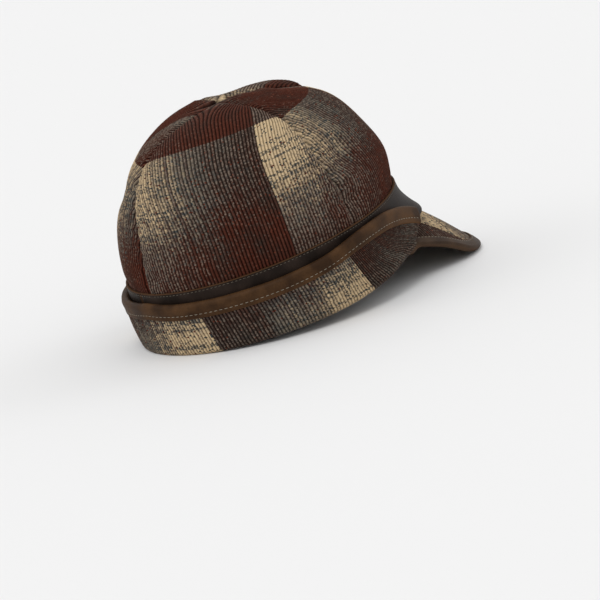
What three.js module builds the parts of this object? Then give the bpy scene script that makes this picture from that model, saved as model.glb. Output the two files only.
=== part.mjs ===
// A peaked winter cap of plaid corduroy: a crown of four gores, a leather band round its base,
// an ear band folded up round the back and sides with a leather trim on its edge, and a short
// cloth peak bound in leather.
// Millimetres. In the cap's own frame the front is -Y, the wearer's right is -X and up is +Z,
// and z = 0 is the plane of the ear band's lower fold. The whole cap leans back a little, because
// it rests on the lower edge of the peak and on the back of the ear band.

import * as THREE from 'three';

// Sizes of the crown and its band
const capLength = 212;
const capWidth = 178;
const crownHeight = 139.5;
const crownWall = 2.2;
const crownPuff = 1.6;
const seamDepth = 1.0;
const seamSpread = 7;
const sideSeamAngle = 82;
const bandTop = 42;
const bandHeight = 27;
const bandWall = 1.8;
const bandFlare = 12;
const bandFlareFull = 32;
const bandFlareEnd = 66;
const bandOverlap = 14;
const bandJoinAngle = 176;

// Sizes of the ear band and its trim
const earBandHeight = 35;
const earBandWall = 3.4;
const earBandEnd = 56;
const earBandLean = 18;
const earBandStand = 1.7;
const earBandGape = 2.4;
const earBandGapeAngle = 92;
const earBandGapeSpread = 16;
const earBandDrop = 6.5;
const earBandFoldRadius = 1;
const earBandFootEnd = 0.6;
const earBandFootStart = 6;
const earBandFootFull = 18;
const trimHeight = 11;
const trimTuck = 7;
const trimWall = 1;

// Sizes of the peak
const peakReach = 56;
const peakDrop = 34;
const peakRootHeight = 22;
const peakHalfAngle = 54;
const peakWall = 3.2;
const peakEndWidth = 2.5;
const bindingWidth = 8;
const bindingWall = 1;

// Shares of the crown's climb where its puff and its folds set in and fade out
const puffFull = 0.25;
const puffFade = 0.8;
const foldsFull = 0.06;

// Heights of the crown's rows of points, from the hem at -1 to just short of the apex at 1
const crownClimbs = [-1, -0.5, 0, 0.05, 0.12, 0.2, 0.28, 0.36, 0.44, 0.52, 0.6, 0.67, 0.74, 0.8,
  0.85, 0.9, 0.94, 0.97, 0.99, 0.9985];
const goreSteps = 11;

// Clearances and the depth that soft edges are pressed flat where the cap rests
const gap = 0.3;
const restPress = 0.7;

// Profile of the crown above its band, from the band's top edge to the apex. climb is a share of
// the height between them, and front, back and side are shares of the reach at the band.
const crownLevels = [
  { climb: 0.00, front: 1.000, back: 1.000, side: 1.000 },
  { climb: 0.10, front: 1.015, back: 1.004, side: 1.004 },
  { climb: 0.26, front: 1.020, back: 0.975, side: 0.965 },
  { climb: 0.43, front: 0.965, back: 0.940, side: 0.900 },
  { climb: 0.59, front: 0.885, back: 0.905, side: 0.825 },
  { climb: 0.72, front: 0.785, back: 0.845, side: 0.745 },
  { climb: 0.82, front: 0.650, back: 0.745, side: 0.655 },
  { climb: 0.90, front: 0.455, back: 0.595, side: 0.500 },
  { climb: 0.955, front: 0.280, back: 0.420, side: 0.310 },
  { climb: 0.99, front: 0.120, back: 0.200, side: 0.130 },
  { climb: 1.00, front: 0.000, back: 0.000, side: 0.000 },
];

// Dents and folds of the crown. angle is in degrees round from the front to the wearer's right,
// climb is the height as in the profile, breadth and height are shares of the crown's length and
// height, and depth is a share of the crown's length, below zero where the cloth stands out.
const crownFolds = [
  { angle: 70, climb: 0.47, breadth: 0.055, height: 0.10, depth: 0.016 },
  { angle: 75, climb: 0.30, breadth: 0.045, height: 0.06, depth: -0.008 },
  { angle: 78, climb: 0.14, breadth: 0.045, height: 0.06, depth: 0.012 },
  { angle: 62, climb: 0.70, breadth: 0.080, height: 0.08, depth: 0.008 },
  { angle: 174, climb: 0.10, breadth: 0.040, height: 0.05, depth: 0.010 },
  { angle: 216, climb: 0.70, breadth: 0.210, height: 0.17, depth: 0.042 },
  { angle: 275, climb: 0.93, breadth: 0.260, height: 0.08, depth: -0.022 },
  { angle: 344, climb: 0.82, breadth: 0.200, height: 0.13, depth: -0.026 },
];

// Height of the ear band's leather edge above the rim plane and the drop of its lower fold below
// it, round the head, as shares of the band's height and drop. angle is in degrees from the front.
const earBandEdge = [
  { angle: 42, height: 0.66, drop: 0.00 },
  { angle: 52, height: 0.84, drop: 0.05 },
  { angle: 62, height: 0.98, drop: 0.40 },
  { angle: 75, height: 1.10, drop: 0.80 },
  { angle: 90, height: 1.11, drop: 1.00 },
  { angle: 104, height: 1.00, drop: 1.00 },
  { angle: 122, height: 0.96, drop: 0.85 },
  { angle: 160, height: 1.00, drop: 0.60 },
  { angle: 180, height: 1.06, drop: 0.55 },
];

// How far the peak's edge hangs down, as a share of its drop. across runs from the middle to the
// end of the peak.
const peakEdge = [
  { across: 0.0, drop: 1.08 },
  { across: 0.2, drop: 1.06 },
  { across: 0.4, drop: 1.01 },
  { across: 0.6, drop: 0.80 },
  { across: 0.8, drop: 0.33 },
  { across: 1.0, drop: -0.12 },
];
const peakSquareness = 2.4;
const peakCrown = 0.04;
const peakRootFullness = 0.8;
const peakSquareFrom = 0.2;

const degree = Math.PI / 180;
const halfLength = capLength / 2;
const halfWidth = capWidth / 2;
const crownInset = bandWall + gap;

// A smooth step from 0 at low to 1 at high.
function smoothStep(low, high, value) {
  const share = Math.min(1, Math.max(0, (value - low) / (high - low)));
  return share * share * (3 - 2 * share);
}

// A smooth curve through the rows of a table: the value of one column where the key column has
// the given value, with slopes that follow the neighbouring rows.
function tableValue(rows, key, column, value) {
  let index = 0;
  while (index < rows.length - 2 && value > rows[index + 1][key]) index += 1;
  const before = rows[Math.max(0, index - 1)];
  const low = rows[index];
  const high = rows[index + 1];
  const after = rows[Math.min(rows.length - 1, index + 2)];
  const width = high[key] - low[key];
  const share = Math.min(1, Math.max(0, (value - low[key]) / width));
  const slopeLow = (high[column] - before[column]) / (high[key] - before[key]) * width;
  const slopeHigh = (after[column] - low[column]) / (after[key] - low[key]) * width;
  const square = share * share;
  const cube = square * share;
  return (2 * cube - 3 * square + 1) * low[column] + (cube - 2 * square + share) * slopeLow
    + (3 * square - 2 * cube) * high[column] + (cube - square) * slopeHigh;
}

// A point in the cap's own frame from its place ahead of the middle, to the right and up.
function place(ahead, right, up) {
  return new THREE.Vector3(-right, -ahead, up);
}

// Angle from the front, from 0 at the front to 180 degrees at the back, on either side.
function angleFromFront(angle) {
  const turned = ((angle % 360) + 360) % 360;
  return turned > 180 ? 360 - turned : turned;
}

// A point on the oval round the band, moved out by an offset.
function ovalPoint(angle, offset, up) {
  const ahead = (halfLength + offset) * Math.cos(angle * degree);
  const right = (halfWidth + offset) * Math.sin(angle * degree);
  return place(ahead, right, up);
}

// How far the leather is pushed out over the root of the peak, most at the band's foot.
function flareAt(angle, up) {
  const rise = Math.min(1, Math.max(0, (up - bandTop + bandHeight) / bandHeight));
  return bandFlare * (1 - smoothStep(bandFlareFull, bandFlareEnd, angleFromFront(angle))) * (1 - rise) ** 2;
}

// Height of the ear band's lower fold at an angle.
function earBandLow(angle) {
  return -earBandDrop * tableValue(earBandEdge, 'angle', 'drop', angleFromFront(angle));
}

// Height of the crown's lower edge, which stands on the foot of the ear band.
function crownHem(angle) {
  return earBandLow(angle) + earBandWall + gap;
}

// One closed body from two faces of the same grid. point(u, v, side) gives the outer face at
// side 0 and the inner face at side 1.
function sheetBody(us, vs, point) {
  const vertices = [];
  for (const side of [0, 1]) {
    for (const u of us) {
      for (const v of vs) vertices.push(point(u, v, side));
    }
  }
  const rows = us.length;
  const columns = vs.length;
  const at = (i, j, side) => (side * rows + i) * columns + j;
  const triangles = [];
  const quad = (a, b, c, d) => triangles.push([a, b, c], [a, c, d]);
  for (let i = 0; i < rows - 1; i += 1) {
    for (let j = 0; j < columns - 1; j += 1) {
      quad(at(i, j, 0), at(i + 1, j, 0), at(i + 1, j + 1, 0), at(i, j + 1, 0));
      quad(at(i, j, 1), at(i, j + 1, 1), at(i + 1, j + 1, 1), at(i + 1, j, 1));
    }
  }
  for (let i = 0; i < rows - 1; i += 1) {
    quad(at(i, 0, 1), at(i + 1, 0, 1), at(i + 1, 0, 0), at(i, 0, 0));
    const j = columns - 1;
    quad(at(i, j, 0), at(i + 1, j, 0), at(i + 1, j, 1), at(i, j, 1));
  }
  for (let j = 0; j < columns - 1; j += 1) {
    quad(at(0, j, 0), at(0, j + 1, 0), at(0, j + 1, 1), at(0, j, 1));
    const i = rows - 1;
    quad(at(i, j, 1), at(i, j + 1, 1), at(i, j + 1, 0), at(i, j, 0));
  }
  return { vertices, triangles };
}

// Evenly spaced values from low to high.
function spread(low, high, steps) {
  return Array.from({ length: steps + 1 }, (_, i) => low + (high - low) * i / steps);
}

// The profile of the crown at a climb from -1 at the hem, through 0 at the band's top edge, to 1
// at the apex: the reach ahead, behind and to the side, and the height.
function crownLevel(angle, climb) {
  if (climb < 0) {
    const hem = crownHem(angle);
    return { front: 1, back: 1, side: 1, up: hem + (bandTop - hem) * (1 + climb) };
  }
  const level = { up: bandTop + (crownHeight - bandTop) * climb };
  for (const column of ['front', 'back', 'side']) {
    level[column] = tableValue(crownLevels, 'climb', column, climb);
  }
  return level;
}

// How far the cloth of the crown stands out of its smooth profile: fuller in the middle of each
// gore, drawn in at the seams, with the folds of the table.
function crownRelief(angle, climb) {
  const seams = [0, sideSeamAngle, 180, 360 - sideSeamAngle, 360];
  const turned = ((angle % 360) + 360) % 360;
  let low = 0;
  while (low < seams.length - 2 && turned > seams[low + 1]) low += 1;
  const across = (turned - seams[low]) / (seams[low + 1] - seams[low]);
  const fullness = smoothStep(0, puffFull, climb) * (1 - smoothStep(puffFade, 1, climb));
  const nearSeam = Math.min(across, 1 - across) * (seams[low + 1] - seams[low]) / seamSpread;
  let relief = crownPuff * fullness * Math.sin(Math.PI * across);
  relief -= seamDepth * fullness * Math.exp(-nearSeam * nearSeam);
  for (const fold of crownFolds) {
    let turn = turned - fold.angle;
    if (turn > 180) turn -= 360;
    const sideways = turn * degree * halfLength / (fold.breadth * capLength);
    const upwards = (climb - fold.climb) / fold.height;
    relief -= fold.depth * capLength * Math.exp(-sideways * sideways - upwards * upwards);
  }
  return relief * smoothStep(0, foldsFull, climb);
}

// Distance from the crown's upright axis and height, before the wall is given its thickness.
function crownMeridian(angle, climb) {
  const level = crownLevel(angle, climb);
  const forward = Math.cos(angle * degree);
  const alongReach = (halfLength - crownInset) * (forward > 0 ? level.front : level.back);
  const ahead = alongReach * forward;
  const right = (halfWidth - crownInset) * level.side * Math.sin(angle * degree);
  return { ahead, right, up: level.up, reach: Math.hypot(ahead, right) };
}

// A point of the crown's cloth, at a depth below its outer face. The depth is taken square to the
// profile, in the upright plane through the axis, so that the seams stay plane.
function crownPoint(angle, climb, depth) {
  const here = crownMeridian(angle, climb);
  const below = crownMeridian(angle, Math.max(-1, climb - 0.01));
  const above = crownMeridian(angle, Math.min(1, climb + 0.01));
  const run = above.reach - below.reach;
  const rise = above.up - below.up;
  const length = Math.hypot(run, rise);
  const out = crownRelief(angle, climb) - depth;
  const reach = here.reach + out * rise / length;
  const scale = reach / here.reach;
  return place(here.ahead * scale, here.right * scale, here.up - out * run / length);
}

// One gore of the crown, between two seams, with its edges half a gap clear of the seams.
function crownGore(fromAngle, toAngle) {
  return sheetBody(spread(0, 1, goreSteps), crownClimbs, (across, climb, side) => {
    const depth = side * crownWall;
    const reach = crownMeridian((fromAngle + toAngle) / 2, climb).reach;
    const inside = Math.max(reach - crownWall, 0.6 * reach);
    const clear = Math.asin(Math.min(0.5, gap / 2 / inside)) / degree;
    const angle = fromAngle + clear + (toAngle - fromAngle - 2 * clear) * across;
    return crownPoint(angle, climb, depth);
  });
}

// The leather band: one strip round the crown. Its two ends are pared to half their thickness and
// lap over each other at the back, and its foot is pushed out over the root of the peak.
function crownBand() {
  const lap = bandOverlap / halfWidth / degree;
  const slack = 2 * gap / halfWidth / degree;
  const start = bandJoinAngle;
  const end = bandJoinAngle + 360;
  const pared = (bandWall + gap) / 2;
  const turns = [...spread(start, start + lap, 2), start + lap + slack];
  turns.push(...spread(start + 1.5 * lap, end - 0.5 * lap, 60));
  turns.push(end - slack, ...spread(end, end + lap, 2));
  return sheetBody(turns, spread(0, 1, 5), (angle, rise, side) => {
    const up = bandTop - bandHeight * (1 - rise);
    const startPared = pared * (1 - smoothStep(start + lap + slack, start + 1.5 * lap, angle));
    const endPared = pared * smoothStep(end - 0.5 * lap, end - slack, angle);
    const depth = side ? bandWall - endPared : startPared;
    return ovalPoint(angle, flareAt(angle, up) - depth, up);
  });
}

// Height of the leather edge of the folded ear band at an angle.
function trimTop(angle) {
  return earBandHeight * tableValue(earBandEdge, 'angle', 'height', angleFromFront(angle));
}

// Height of the cloth of the ear band under its leather trim.
function earBandTop(angle) {
  return trimTop(angle) - trimWall - gap;
}

// How far the inner face of the ear band stands off the oval of the leather band at a height. Its
// edge gapes a little over the temples, and its ends follow the leather out over the peak.
function earBandStandOff(angle, up) {
  const low = earBandLow(angle);
  const share = Math.max(0, (up - low) / (earBandTop(angle) - low));
  const away = (angleFromFront(angle) - earBandGapeAngle) / earBandGapeSpread;
  const gape = earBandGape * Math.exp(-away * away);
  return gap + (earBandStand + gape) * share + flareAt(angle, up);
}

// Angle round the head at a share of the ear band's run, from its right end round the back to its
// left end, at a height. The ends lean forward towards the top.
function earBandAngle(run, up) {
  const end = earBandEnd - earBandLean * Math.max(0, up) / earBandHeight;
  return end + (360 - 2 * end) * run;
}

// The same angle at the top of the ear band's ends.
function earBandTopAngle(run) {
  return earBandAngle(run, earBandHeight * earBandEdge[0].height);
}

// Stations along the ear band, closer together towards its ends.
const earBandRuns = spread(0, 1, 50).map((share) => (
  share / 2 + (1 - Math.cos(Math.PI * share)) / 4));

// How far the foot of the ear band reaches in under the crown's hem. It is cut short where the
// peak's ends pass.
function earBandFoot(angle) {
  const full = crownInset + crownWall + gap;
  const past = angleFromFront(angle) - earBandEnd;
  return earBandFootEnd + (full - earBandFootEnd) * smoothStep(earBandFootStart, earBandFootFull, past);
}

// The ear band: padded corduroy, from a foot under the crown's hem, round the lower fold and up
// to the edge that the trim covers, where it is rounded.
function earBand() {
  const outerRadius = earBandFoldRadius + earBandWall;
  const edgeRound = earBandWall / 2;
  const foldTurns = [0, 30, 60, 90];
  const stations = [
    { part: 'foot', value: 1 },
    ...foldTurns.map((turn) => ({ part: 'fold', value: turn })),
    ...[0.25, 0.5, 0.7, 0.85, 1].map((share) => ({ part: 'upright', value: share })),
    ...[45, 75].map((turn) => ({ part: 'edge', value: turn })),
  ];
  return sheetBody(earBandRuns, stations, (run, station, side) => {
    if (station.part === 'upright' || station.part === 'edge') {
      const edge = station.part === 'edge' ? station.value : 0;
      const upright = station.part === 'edge' ? 1 : station.value;
      const topAngle = earBandTopAngle(run);
      const foot = earBandLow(topAngle) + outerRadius;
      const half = edgeRound * Math.cos(edge * degree);
      const centre = foot + (earBandTop(topAngle) - edgeRound - foot) * upright;
      const up = centre + edgeRound * Math.sin(edge * degree);
      const angle = earBandAngle(run, centre);
      const middle = earBandStandOff(angle, centre) + earBandWall / 2;
      return ovalPoint(angle, middle + (side ? -half : half), up);
    }
    const turn = station.part === 'fold' ? station.value : 0;
    const angle = earBandAngle(run, outerRadius * turn / 90);
    const low = earBandLow(angle);
    const radius = side ? earBandFoldRadius : outerRadius;
    const up = low + outerRadius - radius * Math.cos(turn * degree);
    const centre = earBandStandOff(angle, low + outerRadius) - earBandFoldRadius;
    const inwards = station.part === 'foot' ? earBandFoot(angle) : 0;
    return ovalPoint(angle, centre + radius * Math.sin(turn * degree) - inwards, up);
  });
}

// The leather trim: a strip folded over the upper edge of the ear band, long on the outside and
// short on the inside.
function earBandTrim() {
  const stations = [
    { down: trimHeight, turn: 0 },
    { down: trimHeight * 0.6, turn: 0 },
    ...[0, 45, 90, 135, 180].map((turn) => ({ down: 0, turn })),
    { down: trimTuck, turn: 180 },
  ];
  const edgeRound = earBandWall / 2;
  return sheetBody(earBandRuns, stations, (run, station, side) => {
    const top = trimTop(earBandTopAngle(run));
    const clear = gap + (side ? 0 : trimWall);
    const centre = top - trimWall - gap - edgeRound;
    const leg = station.down > 0 ? station.down - (trimWall + gap + edgeRound) : 0;
    const angle = earBandAngle(run, centre - leg);
    const middle = earBandStandOff(angle, centre - leg) + earBandWall / 2;
    const across = Math.cos(station.turn * degree) * (earBandWall / 2 + clear);
    const up = centre + Math.sin(station.turn * degree) * (edgeRound + clear) - leg;
    return ovalPoint(angle, middle + across, up);
  });
}

// The root of the peak, on the outside of the crown under the band's foot.
function peakRoot(across) {
  const angle = across * peakHalfAngle;
  const low = earBandWall + peakWall;
  const up = low + (peakRootHeight - low) * Math.cos(across * 90 * degree) ** peakRootFullness;
  return ovalPoint(angle, gap - crownInset, up);
}

// The edge of the peak: a squared oval seen from above, lowest towards its corners.
function peakRim(across) {
  const end = peakHalfAngle * degree;
  const start = (halfLength - crownInset) * Math.cos(end);
  const broad = (halfWidth - crownInset) * Math.sin(end) + peakEndWidth;
  const turn = Math.abs(across) * 90 * degree;
  const power = 2 / peakSquareness;
  const ahead = start + (halfLength + peakReach - start) * Math.cos(turn) ** power;
  const right = Math.sign(across) * broad * Math.sin(turn) ** power;
  return place(ahead, right, -peakDrop * tableValue(peakEdge, 'across', 'drop', Math.abs(across)));
}

// A point on the upper face of the peak at a share of the way from its root to its edge. Between
// them the peak is a little fuller than straight.
function peakFace(across, out) {
  const root = peakRoot(across);
  const rim = peakRim(across);
  const point = root.clone().lerp(rim, out);
  point.z += peakCrown * root.distanceTo(rim) * Math.sin(Math.PI * out);
  return point;
}

// Directions at a point of the peak's upper face: its normal, turned upright at the root and the
// narrow ends, which stand against the crown, and the way out of its edge, square to the edge.
function peakDirections(across, out) {
  const step = 0.004;
  const along = peakFace(Math.min(1, across + step), out)
    .sub(peakFace(Math.max(-1, across - step), out));
  const outwards = peakFace(across, Math.min(1, out + step))
    .sub(peakFace(across, Math.max(0, out - step)));
  const normal = along.clone().cross(outwards).normalize();
  if (normal.z < 0) normal.negate();
  const edgeward = along.cross(normal).normalize();
  if (edgeward.dot(outwards) < 0) edgeward.negate();
  const breadth = peakRoot(across).distanceTo(peakRim(across));
  const square = Math.min(1, out / peakSquareFrom) * smoothStep(peakWall, 5 * peakWall, breadth);
  normal.lerp(new THREE.Vector3(0, 0, 1 / normal.z), 1 - square);
  return { normal, edgeward };
}

// A point of the peak at a depth below its upper face.
function peakPoint(across, out, depth) {
  return peakFace(across, out).addScaledVector(peakDirections(across, out).normal, -depth);
}

// Stations across the peak, closer together towards its ends.
const peakStations = spread(-1, 1, 32).map((share) => Math.sin(share * Math.PI / 2));

// The peak: cloth over a stiff board.
function peak() {
  return sheetBody(peakStations, [0, 0.2, 0.4, 0.6, 0.8, 1], (across, out, side) => (
    peakPoint(across, out, side * peakWall)));
}

// The leather binding folded round the peak's edge.
function peakBinding() {
  const stations = [
    { back: 1, turn: 0 },
    { back: 0.5, turn: 0 },
    ...[0, 45, 90, 135, 180].map((turn) => ({ back: 0, turn })),
    { back: 0.5, turn: 180 },
    { back: 1, turn: 180 },
  ];
  return sheetBody(peakStations, stations, (across, station, side) => {
    const breadth = peakRoot(across).distanceTo(peakRim(across));
    const back = Math.min(bindingWidth / breadth, 0.8) * station.back;
    const clear = gap + (side ? 0 : bindingWall);
    const turn = station.turn * degree;
    const depth = peakWall / 2 - Math.cos(turn) * (peakWall / 2 + clear);
    const point = peakPoint(across, 1 - back, depth);
    return point.addScaledVector(peakDirections(across, 1).edgeward, (clear + gap) * Math.sin(turn));
  });
}

const plaidCloth = { color: 0x5a4038, roughness: 0.95, metalness: 0 };
const bandLeather = { color: 0x3a2f29, roughness: 0.55, metalness: 0 };
const trimLeather = { color: 0x5c4026, roughness: 0.55, metalness: 0 };

const pieces = [
  { name: 'crown_gore_front_right', body: crownGore(0, sideSeamAngle), finish: plaidCloth },
  { name: 'crown_gore_back_right', body: crownGore(sideSeamAngle, 180), finish: plaidCloth },
  { name: 'crown_gore_back_left', body: crownGore(180, 360 - sideSeamAngle), finish: plaidCloth },
  { name: 'crown_gore_front_left', body: crownGore(360 - sideSeamAngle, 360), finish: plaidCloth },
  { name: 'crown_band', body: crownBand(), finish: bandLeather },
  { name: 'ear_band', body: earBand(), finish: plaidCloth },
  { name: 'ear_band_trim', body: earBandTrim(), finish: trimLeather },
  { name: 'peak', body: peak(), finish: plaidCloth },
  { name: 'peak_binding', body: peakBinding(), finish: bandLeather },
];

// The lowest height of a set of points once the cap is leaned back by an angle.
function lowest(points, lean) {
  return Math.min(...points.map((point) => point.z * Math.cos(lean) - point.y * Math.sin(lean)));
}

// The lean at which the peak's edge and the back of the ear band touch the floor together.
function restingLean(peakPoints, earBandPoints) {
  let low = 0;
  let high = 30 * degree;
  for (let round = 0; round < 40; round += 1) {
    const lean = (low + high) / 2;
    if (lowest(peakPoints, lean) < lowest(earBandPoints, lean)) low = lean;
    else high = lean;
  }
  return (low + high) / 2;
}

const pointsOf = (name) => pieces.find((piece) => piece.name === name).body.vertices;
const lean = restingLean(pointsOf('peak_binding'), pointsOf('ear_band'));
const floor = lowest(pointsOf('ear_band'), lean) + restPress;
const floorNormal = new THREE.Vector3(0, -Math.sin(lean), Math.cos(lean));

// Presses a point that lies below the floor up to it.
function pressFlat(point) {
  const height = point.dot(floorNormal) - floor;
  return height < 0 ? point.clone().addScaledVector(floorNormal, -height) : point;
}

// A mesh from a closed body, with its faces turned outwards.
function makeMesh(piece) {
  const points = piece.body.vertices.map(pressFlat);
  const volume = piece.body.triangles.reduce((sum, [a, b, c]) => (
    sum + points[a].dot(points[b].clone().cross(points[c]))), 0);
  const index = piece.body.triangles.flatMap(([a, b, c]) => (volume > 0 ? [a, b, c] : [a, c, b]));
  const geometry = new THREE.BufferGeometry().setFromPoints(points);
  geometry.setIndex(index);
  geometry.computeVertexNormals();
  const mesh = new THREE.Mesh(geometry, new THREE.MeshStandardMaterial(piece.finish));
  mesh.name = piece.name;
  return mesh;
}

const cap = new THREE.Group();
cap.add(...pieces.map(makeMesh));
cap.rotation.x = -lean;
cap.updateMatrixWorld(true);
const extent = new THREE.Box3().setFromObject(cap, true);
cap.position.y = -(extent.min.y + extent.max.y) / 2;
cap.position.z = -floor;

const model = new THREE.Group();
model.add(cap);
model.updateMatrixWorld(true);

export default model;
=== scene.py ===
import logging
import math
from dataclasses import dataclass
from enum import Enum
from typing import Sequence

import bpy
import numpy as np
from mathutils import Matrix, Vector


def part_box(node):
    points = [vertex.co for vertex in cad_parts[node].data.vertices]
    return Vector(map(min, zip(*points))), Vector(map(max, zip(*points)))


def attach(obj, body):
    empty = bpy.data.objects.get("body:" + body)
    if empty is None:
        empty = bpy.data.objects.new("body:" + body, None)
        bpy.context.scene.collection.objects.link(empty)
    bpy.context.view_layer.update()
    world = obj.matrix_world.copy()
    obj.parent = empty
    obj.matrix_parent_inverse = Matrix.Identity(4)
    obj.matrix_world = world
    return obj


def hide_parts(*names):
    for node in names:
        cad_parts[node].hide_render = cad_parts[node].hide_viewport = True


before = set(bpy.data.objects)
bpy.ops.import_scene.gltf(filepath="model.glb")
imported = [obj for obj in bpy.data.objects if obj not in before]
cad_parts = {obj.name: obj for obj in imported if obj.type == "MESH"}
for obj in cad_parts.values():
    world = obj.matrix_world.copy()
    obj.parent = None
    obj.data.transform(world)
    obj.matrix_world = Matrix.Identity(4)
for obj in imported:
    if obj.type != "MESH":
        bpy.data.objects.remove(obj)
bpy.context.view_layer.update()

Array = np.ndarray
Socket = bpy.types.NodeSocket
Color = tuple[float, float, float]
LOG = logging.getLogger("cap")
# One millimetre in metres. The pieces are worked out in millimetres and degrees.
MM = 0.001
# How far apart the plaid's repeats are, and the corduroy's wales.
REPEAT = 107.0
WALE = 2.45
# Angles round the cap from the front to the crown's side seams and to its back seam.
SIDE_SEAM = 82.0
BACK_SEAM = 180.0
# A distance past the reach of anything that happens near an edge.
FAR = 99.0
# How far off a face a point is taken to show which way is outward.
OUTWARD = 10.0


def smooth_step(low: float, high: float, value: Array) -> Array:
    """A smooth step from 0 at low to 1 at high."""
    share = np.clip((value - low) / (high - low), 0.0, 1.0)
    return share * share * (3 - 2 * share)


def unit(vectors: Array) -> Array:
    """Vectors scaled to length 1 along the last axis."""
    return vectors / np.maximum(np.linalg.norm(vectors, axis=-1, keepdims=True), 1e-9)


@dataclass(frozen=True)
class Curve:
    """A smooth curve through rows of (key, value, ...), with slopes that follow the neighbours."""

    rows: tuple

    def at(self, value: Array, column: int = 1) -> Array:
        """The value of one column at a key, by a cubic between neighbouring rows.

        Args:
            value: keys to look up.
            column: which column of the rows to read.

        Returns:
            An array like value.
        """
        table = np.array(self.rows, dtype=float)
        keys, values = table[:, 0], table[:, column]
        last = len(keys) - 1
        low = np.clip(np.searchsorted(keys, value, side="left") - 1, 0, last - 1)
        before, high, after = np.maximum(low - 1, 0), low + 1, np.minimum(low + 2, last)
        width = keys[high] - keys[low]
        share = np.clip((value - keys[low]) / width, 0.0, 1.0)
        slope_low = (values[high] - values[before]) / (keys[high] - keys[before]) * width
        slope_high = (values[after] - values[low]) / (keys[after] - keys[low]) * width
        square, cube = share ** 2, share ** 3
        return ((2 * cube - 3 * square + 1) * values[low] + (cube - 2 * square + share) * slope_low
                + (3 * square - 2 * cube) * values[high] + (cube - square) * slope_high)


@dataclass(frozen=True)
class Sizes:
    """The cap's sizes in millimetres and degrees, as in its solids."""

    half_length: float = 106.0
    half_width: float = 89.0
    crown_height: float = 139.5
    crown_wall: float = 2.2
    crown_puff: float = 1.6
    seam_depth: float = 1.0
    seam_breadth: float = 7.0
    band_top: float = 42.0
    band_height: float = 27.0
    band_wall: float = 1.8
    band_flare: float = 12.0
    flare_from: float = 32.0
    flare_to: float = 66.0
    band_overlap: float = 14.0
    band_join: float = 176.0
    ear_height: float = 35.0
    ear_wall: float = 3.4
    ear_end: float = 56.0
    ear_lean: float = 18.0
    ear_stand: float = 1.7
    ear_gape: float = 2.4
    gape_at: float = 92.0
    gape_spread: float = 16.0
    ear_run: float = 430.0
    ear_drop: float = 6.5
    trim_height: float = 11.0
    trim_tuck: float = 7.0
    trim_wall: float = 1.0
    peak_reach: float = 56.0
    peak_drop: float = 34.0
    peak_root: float = 22.0
    peak_root_power: float = 0.8
    peak_half_angle: float = 54.0
    peak_wall: float = 3.2
    peak_end_width: float = 2.5
    peak_squareness: float = 2.4
    peak_crown: float = 0.04
    binding_width: float = 8.0
    binding_wall: float = 1.0
    gap: float = 0.3


# The crown's climb, with its reach ahead, behind and to the side as shares of the band's.
CROWN_LEVELS = Curve((
    (0.00, 1.000, 1.000, 1.000), (0.10, 1.015, 1.004, 1.004), (0.26, 1.020, 0.975, 0.965),
    (0.43, 0.965, 0.940, 0.900), (0.59, 0.885, 0.905, 0.825), (0.72, 0.785, 0.845, 0.745),
    (0.82, 0.650, 0.745, 0.655), (0.90, 0.455, 0.595, 0.500), (0.955, 0.280, 0.420, 0.310),
    (0.99, 0.120, 0.200, 0.130), (1.00, 0.000, 0.000, 0.000)))
# Dents and folds of the crown: angle, climb, half of the bell curve's breadth in radians, its
# height as a climb, and its depth as a share of the band's length.
CROWN_FOLDS = (
    (70, .47, .055, .10, .016), (75, .30, .045, .06, -.008), (78, .14, .045, .06, .012),
    (62, .70, .080, .08, .008), (174, .10, .040, .05, .010), (216, .70, .210, .17, .042),
    (275, .93, .260, .08, -.022), (344, .82, .200, .13, -.026))
# Angle from the front, with the ear band's height and the drop of its fold as shares.
EAR_EDGE = Curve((
    (42, 0.66, 0.00), (52, 0.84, 0.05), (62, 0.98, 0.40), (75, 1.10, 0.80), (90, 1.11, 1.00),
    (104, 1.00, 1.00), (122, 0.96, 0.85), (160, 1.00, 0.60), (180, 1.06, 0.55)))
# Share of the way from the peak's middle to its corner, with its drop as a share.
PEAK_EDGE = Curve(((0.0, 1.08), (0.2, 1.06), (0.4, 1.01), (0.6, 0.80), (0.8, 0.33), (1.0, -0.12)))


def place(ahead: Array, right: Array, up: Array) -> Array:
    """Points in the cap's own frame from their place ahead of the middle, to the right and up."""
    return np.stack(np.broadcast_arrays(-right, -ahead, up), axis=-1).astype(float)


def from_front(angle: Array) -> Array:
    """Angle from the front, from 0 at the front to 180 degrees at the back, on either side."""
    turned = np.mod(angle, 360.0)
    return np.where(turned > 180, 360 - turned, turned)


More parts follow.
